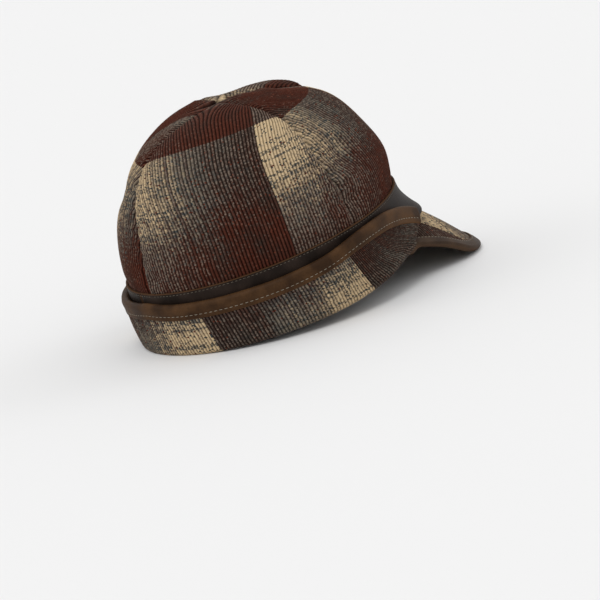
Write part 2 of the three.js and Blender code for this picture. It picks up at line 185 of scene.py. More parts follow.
@dataclass(frozen=True)
class CapShape:
    """The surfaces of the cap in its own frame, in millimetres."""

    size: Sizes = Sizes()

    @property
    def inset(self) -> float:
        """How far the crown's outer face lies inside the oval of the leather band."""
        return self.size.band_wall + self.size.gap

    def oval(self, angle: Array, offset: Array, up: Array) -> Array:
        """Points on the oval round the band, moved out by an offset."""
        turn = np.radians(angle)
        return place((self.size.half_length + offset) * np.cos(turn),
                     (self.size.half_width + offset) * np.sin(turn), up)

    def flare(self, angle: Array, up: Array) -> Array:
        """How far the leather is pushed out over the root of the peak.

        It is the full flare at the front, fading out by a smooth step to the sides, times the
        square of how far below the band's upper edge the point lies.

        Args:
            angle: angles round the cap in degrees, 0 at the front and 90 at the right.
            up: heights in millimetres.

        Returns:
            Distances outwards.
        """
        size = self.size
        rise = np.clip((up - size.band_top + size.band_height) / size.band_height, 0, 1)
        fading = smooth_step(size.flare_from, size.flare_to, from_front(angle))
        return size.band_flare * (1 - fading) * (1 - rise) ** 2

    def ear_low(self, angle: Array) -> Array:
        """Height of the ear band's lower fold."""
        return -self.size.ear_drop * EAR_EDGE.at(from_front(angle), 2)

    def level(self, angle: Array, climb: Array) -> tuple[Array, Array, Array, Array]:
        """Shares of the crown's reach ahead, behind and to the side, and its height, at a climb.

        Above the band the height is in proportion to the climb. Below it the hem goes straight
        down to just above the ear band's foot.

        Args:
            angle: angles round the cap in degrees, 0 at the front and 90 at the right.
            climb: shares of the crown's height, 0 at the band and 1 at the top, down to -1 in the
                hem.

        Returns:
            The three shares and the height.
        """
        size = self.size
        hem = self.ear_low(angle) + size.ear_wall + size.gap
        low = hem + (size.band_top - hem) * (1 + climb)
        high = size.band_top + (size.crown_height - size.band_top) * climb
        risen = np.maximum(climb, 0)
        front, back, side = (np.where(climb < 0, 1.0, CROWN_LEVELS.at(risen, c)) for c in (1, 2, 3))
        return front, back, side, np.where(climb < 0, low, high)

    def relief(self, angle: Array, climb: Array) -> Array:
        """How far the crown's cloth stands out.

        It is the puff times the sine of the place between two seams, less a bell curve at each
        seam, both full from a quarter of the climb up to four fifths of it, less a bell-shaped
        dent for each fold.

        Args:
            angle: angles round the cap in degrees, 0 at the front and 90 at the right.
            climb: shares of the crown's height, 0 at the band and 1 at the top, down to -1 in the
                hem.

        Returns:
            Distances outwards.
        """
        size = self.size
        seams = np.array([0, SIDE_SEAM, BACK_SEAM, 360 - SIDE_SEAM, 360])
        turned = np.clip(angle, 0, 360)
        low = np.clip(np.searchsorted(seams, turned, side="left") - 1, 0, 3)
        breadth = seams[low + 1] - seams[low]
        across = (turned - seams[low]) / breadth
        fullness = smooth_step(0, 0.25, climb) * (1 - smooth_step(0.8, 1, climb))
        near = np.minimum(across, 1 - across) * breadth / size.seam_breadth
        relief = size.crown_puff * fullness * np.sin(np.pi * across)
        relief = relief - size.seam_depth * fullness * np.exp(-near ** 2)
        for fold_angle, fold_climb, wide, tall, deep in CROWN_FOLDS:
            turn = turned - fold_angle
            turn = np.where(turn > 180, turn - 360, turn)
            sideways = np.radians(turn) / (2 * wide)
            upwards = (climb - fold_climb) / tall
            relief = relief - deep * 2 * size.half_length * np.exp(-sideways ** 2 - upwards ** 2)
        return relief * smooth_step(0, 0.06, climb)

    def meridian(self, angle: Array, climb: Array) -> tuple[Array, Array, Array, Array]:
        """The crown's smooth profile.

        An oval at each height: the reach ahead goes with the cosine of the angle and the reach to
        the side with its sine.

        Args:
            angle: angles round the cap in degrees, 0 at the front and 90 at the right.
            climb: shares of the crown's height, 0 at the band and 1 at the top, down to -1 in the
                hem.

        Returns:
            Distance ahead, to the right, up and from the axis.
        """
        front, back, side, up = self.level(angle, climb)
        forward = np.cos(np.radians(angle))
        ahead = (self.size.half_length - self.inset) * np.where(forward > 0, front, back) * forward
        right = (self.size.half_width - self.inset) * side * np.sin(np.radians(angle))
        return ahead, right, up, np.hypot(ahead, right)

    def crown(self, angle: Array, climb: Array, depth: Array) -> Array:
        """Points of the crown's cloth, moved off the smooth profile square to it.

        The profile's slope is its rise over its run between a little below and a little above. The
        relief less the depth is laid off along the normal of that slope.

        Args:
            angle: angles round the cap in degrees, 0 at the front and 90 at the right.
            climb: shares of the crown's height, 0 at the band and 1 at the top, down to -1 in the
                hem.
            depth: distances below the outer face.

        Returns:
            The points.
        """
        ahead, right, up, reach = self.meridian(angle, climb)
        step = 0.01
        _, _, up_low, reach_low = self.meridian(angle, np.maximum(climb - step, -1))
        _, _, up_high, reach_high = self.meridian(angle, np.minimum(climb + step, 1))
        run, rise = reach_high - reach_low, up_high - up_low
        length = np.hypot(run, rise)
        out = self.relief(angle, climb) - depth
        scale = (reach + out * rise / length) / np.maximum(reach, 1e-6)
        scale = np.where(reach > 1e-3, scale, 1.0)
        return place(ahead * scale, right * scale, up - out * run / length)

    def trim_top(self, angle: Array) -> Array:
        """Height of the leather edge of the folded ear band."""
        return self.size.ear_height * EAR_EDGE.at(from_front(angle), 1)

    def ear_top(self, angle: Array) -> Array:
        """Height of the ear band's cloth under its trim."""
        return self.trim_top(angle) - self.size.trim_wall - self.size.gap

    def ear_stand_off(self, angle: Array, up: Array) -> Array:
        """How far the ear band's inner face stands off the oval of the leather band.

        The gap, plus the stand-off in proportion to the height, with a bell-shaped gape at the
        side, plus the flare.

        Args:
            angle: angles round the cap in degrees, 0 at the front and 90 at the right.
            up: heights in millimetres.

        Returns:
            Distances outwards.
        """
        size = self.size
        low = self.ear_low(angle)
        share = np.maximum(0, (up - low) / (self.ear_top(angle) - low))
        gape = size.ear_gape * np.exp(-((from_front(angle) - size.gape_at) / size.gape_spread) ** 2)
        return size.gap + (size.ear_stand + gape) * share + self.flare(angle, up)

    def ear_angle(self, run: Array, up: Array) -> Array:
        """Angle round the cap at a share of the ear band's run.

        The ends lean forward in proportion to the height, and the run is spread evenly between
        them.

        Args:
            run: shares of the way round the cap from one end of the ear band to the other.
            up: heights in millimetres.

        Returns:
            Angles in degrees.
        """
        size = self.size
        end = size.ear_end - size.ear_lean * np.maximum(0, up) / size.ear_height
        return end + (360 - 2 * end) * run

    def ear_top_angle(self, run: Array) -> Array:
        """The same angle at the top of the ear band's ends."""
        return self.ear_angle(run, np.asarray(self.size.ear_height * EAR_EDGE.rows[0][1]))

    def peak_root_point(self, across: Array) -> Array:
        """The root of the peak on the outside of the crown.

        It rises from the sides to the middle by a power of the cosine.

        Args:
            across: shares of the way from the peak's middle to its corners, -1 to 1.

        Returns:
            The points.
        """
        size = self.size
        low = size.ear_wall + size.peak_wall
        rise = np.maximum(np.cos(across * np.pi / 2), 0) ** size.peak_root_power
        return self.oval(across * size.peak_half_angle, size.gap - self.inset,
                         low + (size.peak_root - low) * rise)

    def peak_rim(self, across: Array) -> Array:
        """The edge of the peak: a squared oval from above, lowest towards its corners.

        Its reach ahead is a power of the cosine and its reach to the side the same power of the
        sine, where a power below 1 squares the oval.

        Args:
            across: shares of the way from the peak's middle to its corners, -1 to 1.

        Returns:
            The points.
        """
        size = self.size
        end = math.radians(size.peak_half_angle)
        start = (size.half_length - self.inset) * math.cos(end)
        broad = (size.half_width - self.inset) * math.sin(end) + size.peak_end_width
        turn = np.abs(across) * np.pi / 2
        power = 2 / size.peak_squareness
        reach = size.half_length + size.peak_reach - start
        ahead = start + reach * np.maximum(np.cos(turn), 0) ** power
        right = np.sign(across) * broad * np.sin(turn) ** power
        return place(ahead, right, -size.peak_drop * PEAK_EDGE.at(np.abs(across)))

    def peak_face(self, across: Array, out: Array) -> Array:
        """Points on the upper face of the peak.

        Straight lines from the root to the edge, raised in the middle by a sine in proportion to
        their length.

        Args:
            across: shares of the way from the peak's middle to its corners, -1 to 1.
            out: shares of the way from the peak's root to its edge.

        Returns:
            The points.
        """
        root, rim = self.peak_root_point(across), self.peak_rim(across)
        length = np.linalg.norm(rim - root, axis=-1)
        points = root + (rim - root) * out[..., None]
        points[..., 2] += self.size.peak_crown * length * np.sin(np.pi * out)
        return points

    def peak_directions(self, across: Array, out: Array) -> tuple[Array, Array]:
        """Directions at the peak's upper face.

        The normal is the cross product of the steps along and out. Near the root and at the narrow
        corners it gives way to the upright direction, as long as is needed to be one wall thick
        square to the face.

        Args:
            across: shares of the way from the peak's middle to its corners, -1 to 1.
            out: shares of the way from the peak's root to its edge.

        Returns:
            The normal, and the way out of the edge, square to the edge.
        """
        step = 0.004
        wide_low, wide_high = np.maximum(across - step, -1), np.minimum(across + step, 1)
        out_low, out_high = np.maximum(out - step, 0), np.minimum(out + step, 1)
        along = self.peak_face(wide_high, out) - self.peak_face(wide_low, out)
        outwards = self.peak_face(across, out_high) - self.peak_face(across, out_low)
        normal = unit(np.cross(along, outwards))
        normal = normal * np.where(normal[..., 2:] < 0, -1, 1)
        edgeward = unit(np.cross(along, normal))
        edgeward = edgeward * np.where((edgeward * outwards).sum(-1, keepdims=True) < 0, -1, 1)
        breadth = np.linalg.norm(self.peak_root_point(across) - self.peak_rim(across), axis=-1)
        wall, near_root, wide_enough = self.size.peak_wall, 0.2, 5
        square = np.minimum(1, out / near_root) * smooth_step(wall, wide_enough * wall, breadth)
        upright = np.zeros_like(normal)
        upright[..., 2] = 1 / normal[..., 2]
        return normal + (upright - normal) * (1 - square)[..., None], edgeward

    def peak_point(self, across: Array, out: Array, depth: Array) -> Array:
        """Points of the peak at a depth below its upper face."""
        normal, _ = self.peak_directions(across, out)
        return self.peak_face(across, out) - normal * depth[..., None]


@dataclass
class Resting:
    """Where the leaning cap rests: its lean, and its shift ahead and up, found from the frame."""

    shape: CapShape
    lean: float = 0.0
    ahead: float = 0.0
    up: float = 0.0
    steepest: float = 30.0
    halvings: int = 40

    def settle(self) -> None:
        """Finds the lean at which the leather band is as tall as the frame's, then the shift.

        The lean is found by halving an interval, as the leaned band grows taller with the lean.
        """
        size = self.shape.size
        angle, up = np.meshgrid(np.linspace(0, 360, 361), [size.band_top - size.band_height,
                                                          size.band_top])
        band = self.shape.oval(angle, self.shape.flare(angle, up), up)
        low, high = (np.array(corner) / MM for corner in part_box("crown_band"))
        least, most = 0.0, math.radians(self.steepest)
        for _ in range(self.halvings):
            self.lean = (least + most) / 2
            if np.ptp(self.turn(band)[..., 2]) < high[2] - low[2]:
                least = self.lean
            else:
                most = self.lean
        turned = self.turn(band)
        self.ahead = (low[1] + high[1] - turned[..., 1].min() - turned[..., 1].max()) / 2
        self.up = (low[2] + high[2] - turned[..., 2].min() - turned[..., 2].max()) / 2
        LOG.info("lean %.3f degrees, shift %.2f, %.2f mm", math.degrees(self.lean), self.ahead,
                 self.up)

    def turn(self, points: Array) -> Array:
        """Points leaned back: turned about the axis across the cap by the lean.

        Args:
            points: points in the cap's own frame.

        Returns:
            The turned points.
        """
        cosine, sine = math.cos(self.lean), math.sin(self.lean)
        y, z = points[..., 1], points[..., 2]
        return np.stack([points[..., 0], y * cosine + z * sine, z * cosine - y * sine], axis=-1)

    def world(self, points: Array) -> Array:
        """Points in the row frame, in metres: turned, shifted and pressed flat at the floor.

        Args:
            points: points in the cap's own frame.

        Returns:
            The points.
        """
        moved = (self.turn(points) + np.array([0, self.ahead, self.up])) * MM
        moved[..., 2] = np.maximum(moved[..., 2], 0)
        return moved


@dataclass
class Surface:
    """A closed body being made: points, faces, cloth coordinates and a mask of its worn edges."""

    points: Array
    faces: Array
    cloth: Array
    edge: Array | None = None
    caps: Sequence[Sequence[int]] = ()


def grid_faces(rows: int, columns: int, start: int = 0, wrap: bool = False) -> Array:
    """Four-sided faces of a grid of points.

    The corners of each face are a point, the one in the next row, the one past that in the next
    column, and the one beside the first.

    Args:
        rows: how many rows of points.
        columns: how many points in a row.
        start: index of the first point.
        wrap: whether the last column is joined to the first.

    Returns:
        Rows of four indices.
    """
    i, j = np.meshgrid(np.arange(rows - 1), np.arange(columns if wrap else columns - 1),
                       indexing="ij")
    k = (j + 1) % columns
    faces = np.stack([i * columns + j, (i + 1) * columns + j, (i + 1) * columns + k,
                      i * columns + k], axis=-1)
    return faces.reshape(-1, 4) + start


def sheet_surface(outer: Array, inner: Array, cloth: Array,
                  edge: Array | None = None) -> Surface:
    """A closed body from an outer and an inner grid of the same size, joined round their edges.

    Args:
        outer: points of the outer face.
        inner: points of the inner face.
        cloth: cloth coordinates of the grid.
        edge: mask of the worn edges, if it has one.

    Returns:
        The surface.
    """
    rows, columns = outer.shape[:2]
    count = rows * columns
    faces = [grid_faces(rows, columns), grid_faces(rows, columns, count)[:, ::-1]]
    i, j = np.arange(rows), np.arange(columns)
    border = np.concatenate([i * columns, (rows - 1) * columns + j[1:],
                             (i * columns + columns - 1)[::-1][1:], j[::-1][1:-1]])
    after = np.roll(border, -1)
    faces.append(np.stack([border, border + count, after + count, after], axis=-1))
    points = np.concatenate([outer.reshape(-1, 3), inner.reshape(-1, 3)])
    return Surface(points, np.concatenate(faces), np.tile(cloth.reshape(-1, 2), (2, 1)),
                   None if edge is None else np.tile(edge.reshape(-1), 2))


def ring_surface(sections: Array, cloth: Array) -> Surface:
    """A closed body from closed sections one after another, with a face over each end.

    Args:
        sections: points of the sections.
        cloth: cloth coordinates of the same points.

    Returns:
        The surface.
    """
    rows, columns = sections.shape[:2]
    last = (rows - 1) * columns
    caps = [list(range(columns)), list(range(last + columns - 1, last - 1, -1))]
    return Surface(sections.reshape(-1, 3), grid_faces(rows, columns, wrap=True),
                   cloth.reshape(-1, 2), caps=caps)


def signed_volume(points: Array, faces: Array) -> float:
    """Volume inside four-sided faces, below zero where they face inward."""
    a, b, c, d = (points[faces[:, i]] for i in range(4))
    return float((np.cross(a, b) * c).sum() + (np.cross(a, c) * d).sum()) / 6


def build_mesh(name: str, surface: Surface, resting: Resting,
               material: bpy.types.Material) -> bpy.types.Object:
    """Makes a shaded object of a surface, with its cloth coordinates and edge mask.

    Args:
        name: the piece's name.
        surface: the body in the cap's own frame, in millimetres.
        resting: where the cap rests.
        material: the finish.

    Returns:
        The object, at the origin.
    """
    points = resting.world(surface.points)
    faces, caps = surface.faces, [list(cap) for cap in surface.caps]
    if signed_volume(surface.points - surface.points.mean(axis=0), faces) < 0:
        faces = faces[:, ::-1]
        caps = [cap[::-1] for cap in caps]
    mesh = bpy.data.meshes.new(name)
    mesh.from_pydata(points.tolist(), [], faces.tolist() + caps)
    corners = np.empty(len(mesh.loops), dtype=np.int32)
    mesh.loops.foreach_get("vertex_index", corners)
    layer = mesh.uv_layers.new(name="cloth")
    layer.data.foreach_set("uv", (surface.cloth[corners] * MM).astype(np.float32).ravel())
    if surface.edge is not None:
        mask = mesh.attributes.new("edge", "FLOAT", "POINT")
        mask.data.foreach_set("value", surface.edge.astype(np.float32))
    mesh.shade_smooth()
    mesh.validate()
    mesh.update()
    piece = bpy.data.objects.new(name, mesh)
    bpy.context.scene.collection.objects.link(piece)
    mesh.materials.append(material)
    LOG.info("%s: %d triangles", name, 2 * len(faces))
    return piece


class Shade:
    """Short ways to add and join shader nodes in one tree."""

    def __init__(self, tree: bpy.types.NodeTree) -> None:
        """Works on one node tree."""
        self.tree = tree

    def add(self, kind: str, inputs: dict | None = None, **settings: object) -> bpy.types.Node:
        """Adds a node, sets its properties and joins or sets its inputs.

        Args:
            kind: the node's type name.
            inputs: sockets or values by the input's name or index.
            settings: properties of the node.

        Returns:
            The node.
        """
        node = self.tree.nodes.new(kind)
        for key, value in settings.items():
            setattr(node, key, value)
        for key, value in (inputs or {}).items():
            if isinstance(value, Socket):
                self.tree.links.new(value, node.inputs[key])
            else:
                node.inputs[key].default_value = value
        return node

    def math(self, way: str, *values: Socket | float, clamp: bool = False) -> Socket:
        """The result of a sum on numbers, held between 0 and 1 where asked."""
        return self.add("ShaderNodeMath", dict(enumerate(values)), operation=way,
                        use_clamp=clamp).outputs[0]

    def times(self, first: Socket | float, second: Socket | float, clamp: bool = False) -> Socket:
        """The product of two numbers."""
        return self.math("MULTIPLY", first, second, clamp=clamp)

    def plus(self, first: Socket | float, second: Socket | float, clamp: bool = False) -> Socket:
        """The sum of two numbers."""
        return self.math("ADD", first, second, clamp=clamp)

    def line(self, value: Socket, slope: Socket | float, start: Socket | float) -> Socket:
        """A straight line: the value times a slope, added to a start."""
        return self.math("MULTIPLY_ADD", value, slope, start)

    def jitter(self, value: Socket, width: float) -> Socket:
        """A random value from 0 to 1 spread evenly over a width, half of it below zero."""
        return self.line(value, width, -width / 2)

    def above(self, value: Socket, limit: float) -> Socket:
        """One where a value is above a limit, else zero."""
        return self.math("GREATER_THAN", value, limit)

    def held(self, value: Socket) -> Socket:
        """A value held between 0 and 1."""
        return self.math("MINIMUM", self.math("MAXIMUM", value, 0.0), 1.0)

    def point(self, x: Socket | float, y: Socket | float = 0.0,
              z: Socket | float = 0.0) -> Socket:
        """A vector of three numbers."""
        return self.add("ShaderNodeCombineXYZ", {0: x, 1: y, 2: z}).outputs[0]

    def grey(self, value: Socket) -> Socket:
        """A grey of one value."""
        return self.add("ShaderNodeCombineColor", {0: value, 1: value, 2: value}).outputs[0]

    def ramp(self, value: Socket, stops: Sequence[tuple[float, Color | float]]) -> Socket:
        """Colour along a row of stops, straight from one stop to the next.

        Args:
            value: place along the row, from 0 to 1.
            stops: places with their colours, or with single values for greys.

        Returns:
            The colour.
        """
        node = self.add("ShaderNodeValToRGB", {0: value})
        elements = node.color_ramp.elements
        while len(elements) < len(stops):
            elements.new(0.5)
        for element, (at, color) in zip(elements, stops):
            element.position = at
            element.color = (*color, 1) if isinstance(color, tuple) else (color, color, color, 1)
        return node.outputs[0]

    def mix(self, share: Socket | float, first: Socket | Color, second: Socket | Color,
            way: str = "MIX") -> Socket:
        """A mix of two colours: the first at a share of 0, the second at a share of 1.

        Args:
            share: how much of the second colour shows.
            first: the colour below.
            second: the colour over it.
            way: how the second is laid over the first.

        Returns:
            The mixed colour.
        """
        values = {0: share}
        for index, color in ((6, first), (7, second)):
            values[index] = color if isinstance(color, Socket) else (*color, 1)
        return self.add("ShaderNodeMix", values, data_type="RGBA", blend_type=way,
                        clamp_factor=True).outputs[2]

    def noise(self, at: Socket, scale: float, detail: float = 2.0) -> Socket:
        """Smooth noise from 0 to 1 at a place."""
        return self.add("ShaderNodeTexNoise", {"Vector": at, "Scale": scale,
                                               "Detail": detail}).outputs[0]

    def white(self, x: Socket, y: Socket | float = 0.0) -> tuple[Socket, Socket]:
        """An unrelated value and colour for each cell."""
        node = self.add("ShaderNodeTexWhiteNoise", {"Vector": self.point(x, y)},
                        noise_dimensions="3D")
        return node.outputs["Value"], node.outputs["Color"]

    def dress(self, shader: bpy.types.Node, values: dict[str, object]) -> None:
        """Joins sockets to a shader's inputs, and sets its constant values on the inputs.

        Args:
            shader: the shader node.
            values: sockets or values by the input's name, colours as three numbers.
        """
        for key, value in values.items():
            if isinstance(value, Socket):
                self.tree.links.new(value, shader.inputs[key])
            else:
                color = isinstance(value, tuple)
                shader.inputs[key].default_value = (*value, 1) if color else value


def group(name: str, inputs: dict[str, tuple[str, float]], outputs: dict[str, str]) -> tuple:
    """Starts a node group with named sockets.

    Args:
        name: the group's name.
        inputs: socket type and default value by name.
        outputs: socket type by name.

    Returns:
        The tree, the input node and the output node.
    """
    tree = bpy.data.node_groups.new(name, "ShaderNodeTree")
    for key, (kind, value) in inputs.items():
        socket = tree.interface.new_socket(name=key, in_out="INPUT", socket_type=kind)
        if kind == "NodeSocketFloat":
            socket.default_value = value
    for key, kind in outputs.items():
        tree.interface.new_socket(name=key, in_out="OUTPUT", socket_type=kind)
    return tree, tree.nodes.new("NodeGroupInput"), tree.nodes.new("NodeGroupOutput")


@dataclass(frozen=True)
class Dyes:
    """Colours of the corduroy's yarns, and how the plaid fades, as shares from 0 to 1.

    The lines, wales and tufts of each kind are the limits that a random value has to pass, its
    share is how much of the colour shows, and a jitter is how widely the fades are moved.
    """

    shades: tuple = ((0.0, (.028, .018, .014)), (0.12, (.048, .036, .029)),
                     (0.30, (.100, .089, .074)), (0.52, (.215, .172, .120)),
                     (0.78, (.43, .320, .195)), (1.0, (.56, .420, .250)))
    maroon: Color = (.064, .0175, .0105)
    slate_dash: Color = (.052, .058, .056)
    rust: Color = (.090, .034, .022)
    red_fleck: Color = (.11, .032, .019)
    slate_fleck: Color = (.055, .062, .060)
    pale_tip: Color = (.225, .185, .145)
    warp_fade: tuple = ((0.0, 1.0), (0.17, .94), (0.31, .68), (0.46, .36), (0.72, .07), (1.0, 0.0))
    weft_fade: tuple = ((0.0, 1.0), (0.28, .95), (0.42, .62), (0.54, .26), (0.72, .04), (1.0, 0.0))
    dash_places: tuple = ((0.0, .05), (0.16, .25), (0.30, .95), (0.5, .9), (0.62, .2), (1.0, 0.0))
    dash_height: float = 1.6
    dash_lines: float = 0.66
    dash_tufts: float = 0.42
    dash_share: float = 0.85
    rust_wales: float = 0.62
    rust_tufts: float = 0.35
    rust_share: float = 0.26
    red_tufts: float = 0.982
    slate_tufts: float = 0.08
    tip_share: float = 0.50
    tuft_jitter: float = 0.18
    line_jitter: float = 0.10
    drift_jitter: float = 0.30

    def group(self) -> bpy.types.NodeTree:
        """Makes the shadow plaid, picked out tuft by tuft.

        The cloth's own coordinates give the wale and, along it, the tuft. Two fades, one across
        the wales and one along them, each start at a sharp edge and thin out over a repeat. How
        light a tuft is follows from their product, from charcoal up to beige. Where the fade
        along the wales has run out the cloth is stained maroon. Dashes, flecks, pale tips and the
        shade between the wales are laid over that.

        Returns:
            The node group, with the colour, the wales' ridges and a random value for each tuft.
        """
        number, color = "NodeSocketFloat", "NodeSocketColor"
        tree, given, made = group("shadow_plaid", {
            "Cloth": ("NodeSocketVector", 0), "Warp Edge": (number, 0), "Weft Edge": (number, 97),
            "Warp Way": (number, -1), "Weft Way": (number, -1), "Repeat": (number, REPEAT),
            "Warp Limit": (number, 999), "Redness": (number, 1), "Seed": (number, 0)},
            {"Color": color, "Ridge": number, "Tuft": number})
        s, asked = Shade(tree), given.outputs
        scaled = s.add("ShaderNodeVectorMath", {0: asked["Cloth"], "Scale": 1 / MM},
                       operation="SCALE").outputs[0]
        cloth = s.add("ShaderNodeSeparateXYZ", {0: scaled})
        x, y = cloth.outputs[0], cloth.outputs[1]

        # The wale, its ridge, and the cells of the pile along it, two to a wale.
        wale = s.math("DIVIDE", x, WALE)
        ridge = s.math("ABSOLUTE", s.math("SINE", s.times(wale, math.pi)))
        column = s.plus(s.math("FLOOR", wale), s.times(asked["Seed"], 37.0))
        tone, _ = s.white(column)
        tuft = s.math("FLOOR", s.plus(y, s.times(tone, 9)))
        half = s.plus(s.math("FLOOR", s.times(wale, 2.0)), 91.0)
        random, randoms = s.white(half, tuft)
        picks = s.add("ShaderNodeSeparateColor", {0: randoms}).outputs
        dash_line, _ = s.white(s.math("FLOOR", s.math("DIVIDE", y, self.dash_height)),
                               asked["Seed"])
        streak = s.noise(s.point(s.times(half, 3.7), s.times(y, 0.16)), 1.0, 2)
        drift = s.noise(s.point(s.times(x, 0.11), s.times(y, 0.05), asked["Seed"]), 1.0, 3)
        blotch = s.noise(s.point(s.times(x, 0.07), s.times(y, 0.035), asked["Seed"]), 1.0, 2)

        def fade(at: Socket, edge: str, way: str, moved: Socket) -> Socket:
            """Share of the way from one sharp edge of a fade to the next, moved by some jitter."""
            away = s.times(s.math("SUBTRACT", at, asked[edge]), asked[way])
            return s.held(s.plus(s.math("FRACT", s.math("DIVIDE", away, asked["Repeat"])), moved))

        # How light the tuft is: the product of both fades, with jitter at each tuft and wale.
        warp_jitter = s.plus(s.jitter(random, self.tuft_jitter), s.jitter(tone, self.tuft_jitter))
        weft_jitter = s.plus(s.jitter(picks[0], self.tuft_jitter),
                             s.plus(s.jitter(dash_line, self.line_jitter),
                                    s.jitter(drift, self.drift_jitter)))
        limited = s.math("MINIMUM", x, asked["Warp Limit"])
        warp = s.ramp(fade(limited, "Warp Edge", "Warp Way", warp_jitter), self.warp_fade)
        along = fade(y, "Weft Edge", "Weft Way", weft_jitter)
        weft = s.ramp(along, self.weft_fade)
        both = s.times(warp, s.line(weft, 0.86, 0.14))
        light = s.plus(both, s.times(weft, 0.08), clamp=True)
        base = s.ramp(light, self.shades)

        # Maroon, in blotches and streaks, where the fades have run out.
        under, beside = s.math("SUBTRACT", 1.0, weft), s.math("SUBTRACT", 1.0, warp)
        deep = s.plus(s.times(under, s.line(warp, -0.45, 1.0)),
                      s.times(s.times(beside, weft), 0.42), clamp=True)
        stain = s.line(under, 0.45, s.line(blotch, 2.4, s.line(streak, 0.6, -1.05)))
        stain = s.times(s.held(stain), asked["Redness"])
        base = s.mix(s.times(deep, stain), base, self.maroon)

        # Slate dashes across the wales, rust wales, and red and slate flecks.
        dashes = s.times(s.above(dash_line, self.dash_lines), s.above(picks[0], self.dash_tufts))
        dashes = s.times(dashes, s.times(light, 3.0), clamp=True)
        where = s.times(s.ramp(along, self.dash_places), self.dash_share)
        base = s.mix(s.times(dashes, where), base, self.slate_dash)
        rust = s.times(s.above(tone, self.rust_wales),
                       s.times(beside, s.above(picks[1], self.rust_tufts)))
        base = s.mix(s.times(rust, self.rust_share), base, self.rust)
        base = s.mix(s.above(picks[2], self.red_tufts), base, self.red_fleck)
        slate = s.times(s.math("LESS_THAN", picks[2], self.slate_tufts), s.times(light, 2.4),
                        clamp=True)
        base = s.mix(slate, base, self.slate_fleck)

        # Pale tips on the ridges of some tufts, then painted shade in the grooves and a painted
        # highlight on the ridges.
        chance = s.line(weft, 0.50, s.line(streak, 0.4, -1.2))
        chance = s.line(s.times(s.times(warp, under), asked["Redness"]), 0.75, chance)
        pale = s.times(s.plus(picks[1], chance), 2.5, clamp=True)
        tips = s.times(pale, s.times(s.times(ridge, ridge), self.tip_share))
        base = s.mix(tips, base, self.pale_tip)
        # Painted light: the colour is darkened in the grooves between the wales as painted shade
        # and lifted a little on the ridge tops as a painted highlight, most where the plaid is
        # dark.
        wale_shade_and_highlight = s.line(s.math("POWER", ridge, 1.1), s.line(light, -0.26, 1.12),
                      s.line(light, 0.22, 0.05))
        shade = s.times(wale_shade_and_highlight, s.line(picks[1], 0.30, 0.85))
        final = s.mix(1.0, base, s.grey(shade), "MULTIPLY")
        for key, value in (("Color", final), ("Ridge", ridge), ("Tuft", random)):
            tree.links.new(value, made.inputs[key])
        return tree


def leather_group() -> bpy.types.NodeTree:
    """Makes oiled leather.

    Its tone is the base colour, clouded with the rubbed one where smooth noise is high, speckled
    by fine noise, and mixed with the raw colour by the mask of its edges. Its grain is the
    distance to the edges of small cells added to the fine noise.

    Returns:
        The node group, with the colour, the grain's height and the roughness.
    """
    number, color = "NodeSocketFloat", "NodeSocketColor"
    tree, given, made = group("oiled_leather", {
        "Place": ("NodeSocketVector", 0), "Base": (color, 0), "Rubbed": (color, 0),
        "Raw": (color, 0), "Edge": (number, 0)},
        {"Color": color, "Grain": number, "Roughness": number})
    s, asked = Shade(tree), given.outputs
    at, cloud_scale, fine_scale, cell_scale = asked["Place"], 55.0, 900.0, 1500.0
    cloud, fine = s.noise(at, cloud_scale, 4), s.noise(at, fine_scale, 3)
    cells = s.add("ShaderNodeTexVoronoi", {"Vector": at, "Scale": cell_scale},
                  feature="DISTANCE_TO_EDGE").outputs[0]
    rubbed = s.times(s.math("SUBTRACT", cloud, 0.40), 3.2, clamp=True)
    tone = s.mix(rubbed, asked["Base"], asked["Rubbed"])
    tone = s.mix(1.0, tone, s.grey(s.line(fine, 0.5, 0.75)), "MULTIPLY")
    bare = s.times(asked["Edge"], s.line(fine, 0.9, 0.45), clamp=True)
    tone = s.mix(bare, tone, asked["Raw"])
    grain = s.plus(s.times(cells, 0.8), s.times(fine, 0.5))
    rough = s.plus(s.line(cloud, 0.25, 0.42), s.times(asked["Edge"], 0.25))
    for key, value in (("Color", tone), ("Grain", grain), ("Roughness", rough)):
        tree.links.new(value, made.inputs[key])
    return tree


def bare_material(name: str) -> tuple[bpy.types.Material, Shade, bpy.types.Node]:
    """Starts a material with a Principled shader joined to its output.

    Args:
        name: the material's name.

    Returns:
        The material, the ways to add nodes to it and its shader node.
    """
    material = bpy.data.materials.new(name)
    material.use_nodes = True
    return material, Shade(material.node_tree), material.node_tree.nodes["Principled BSDF"]


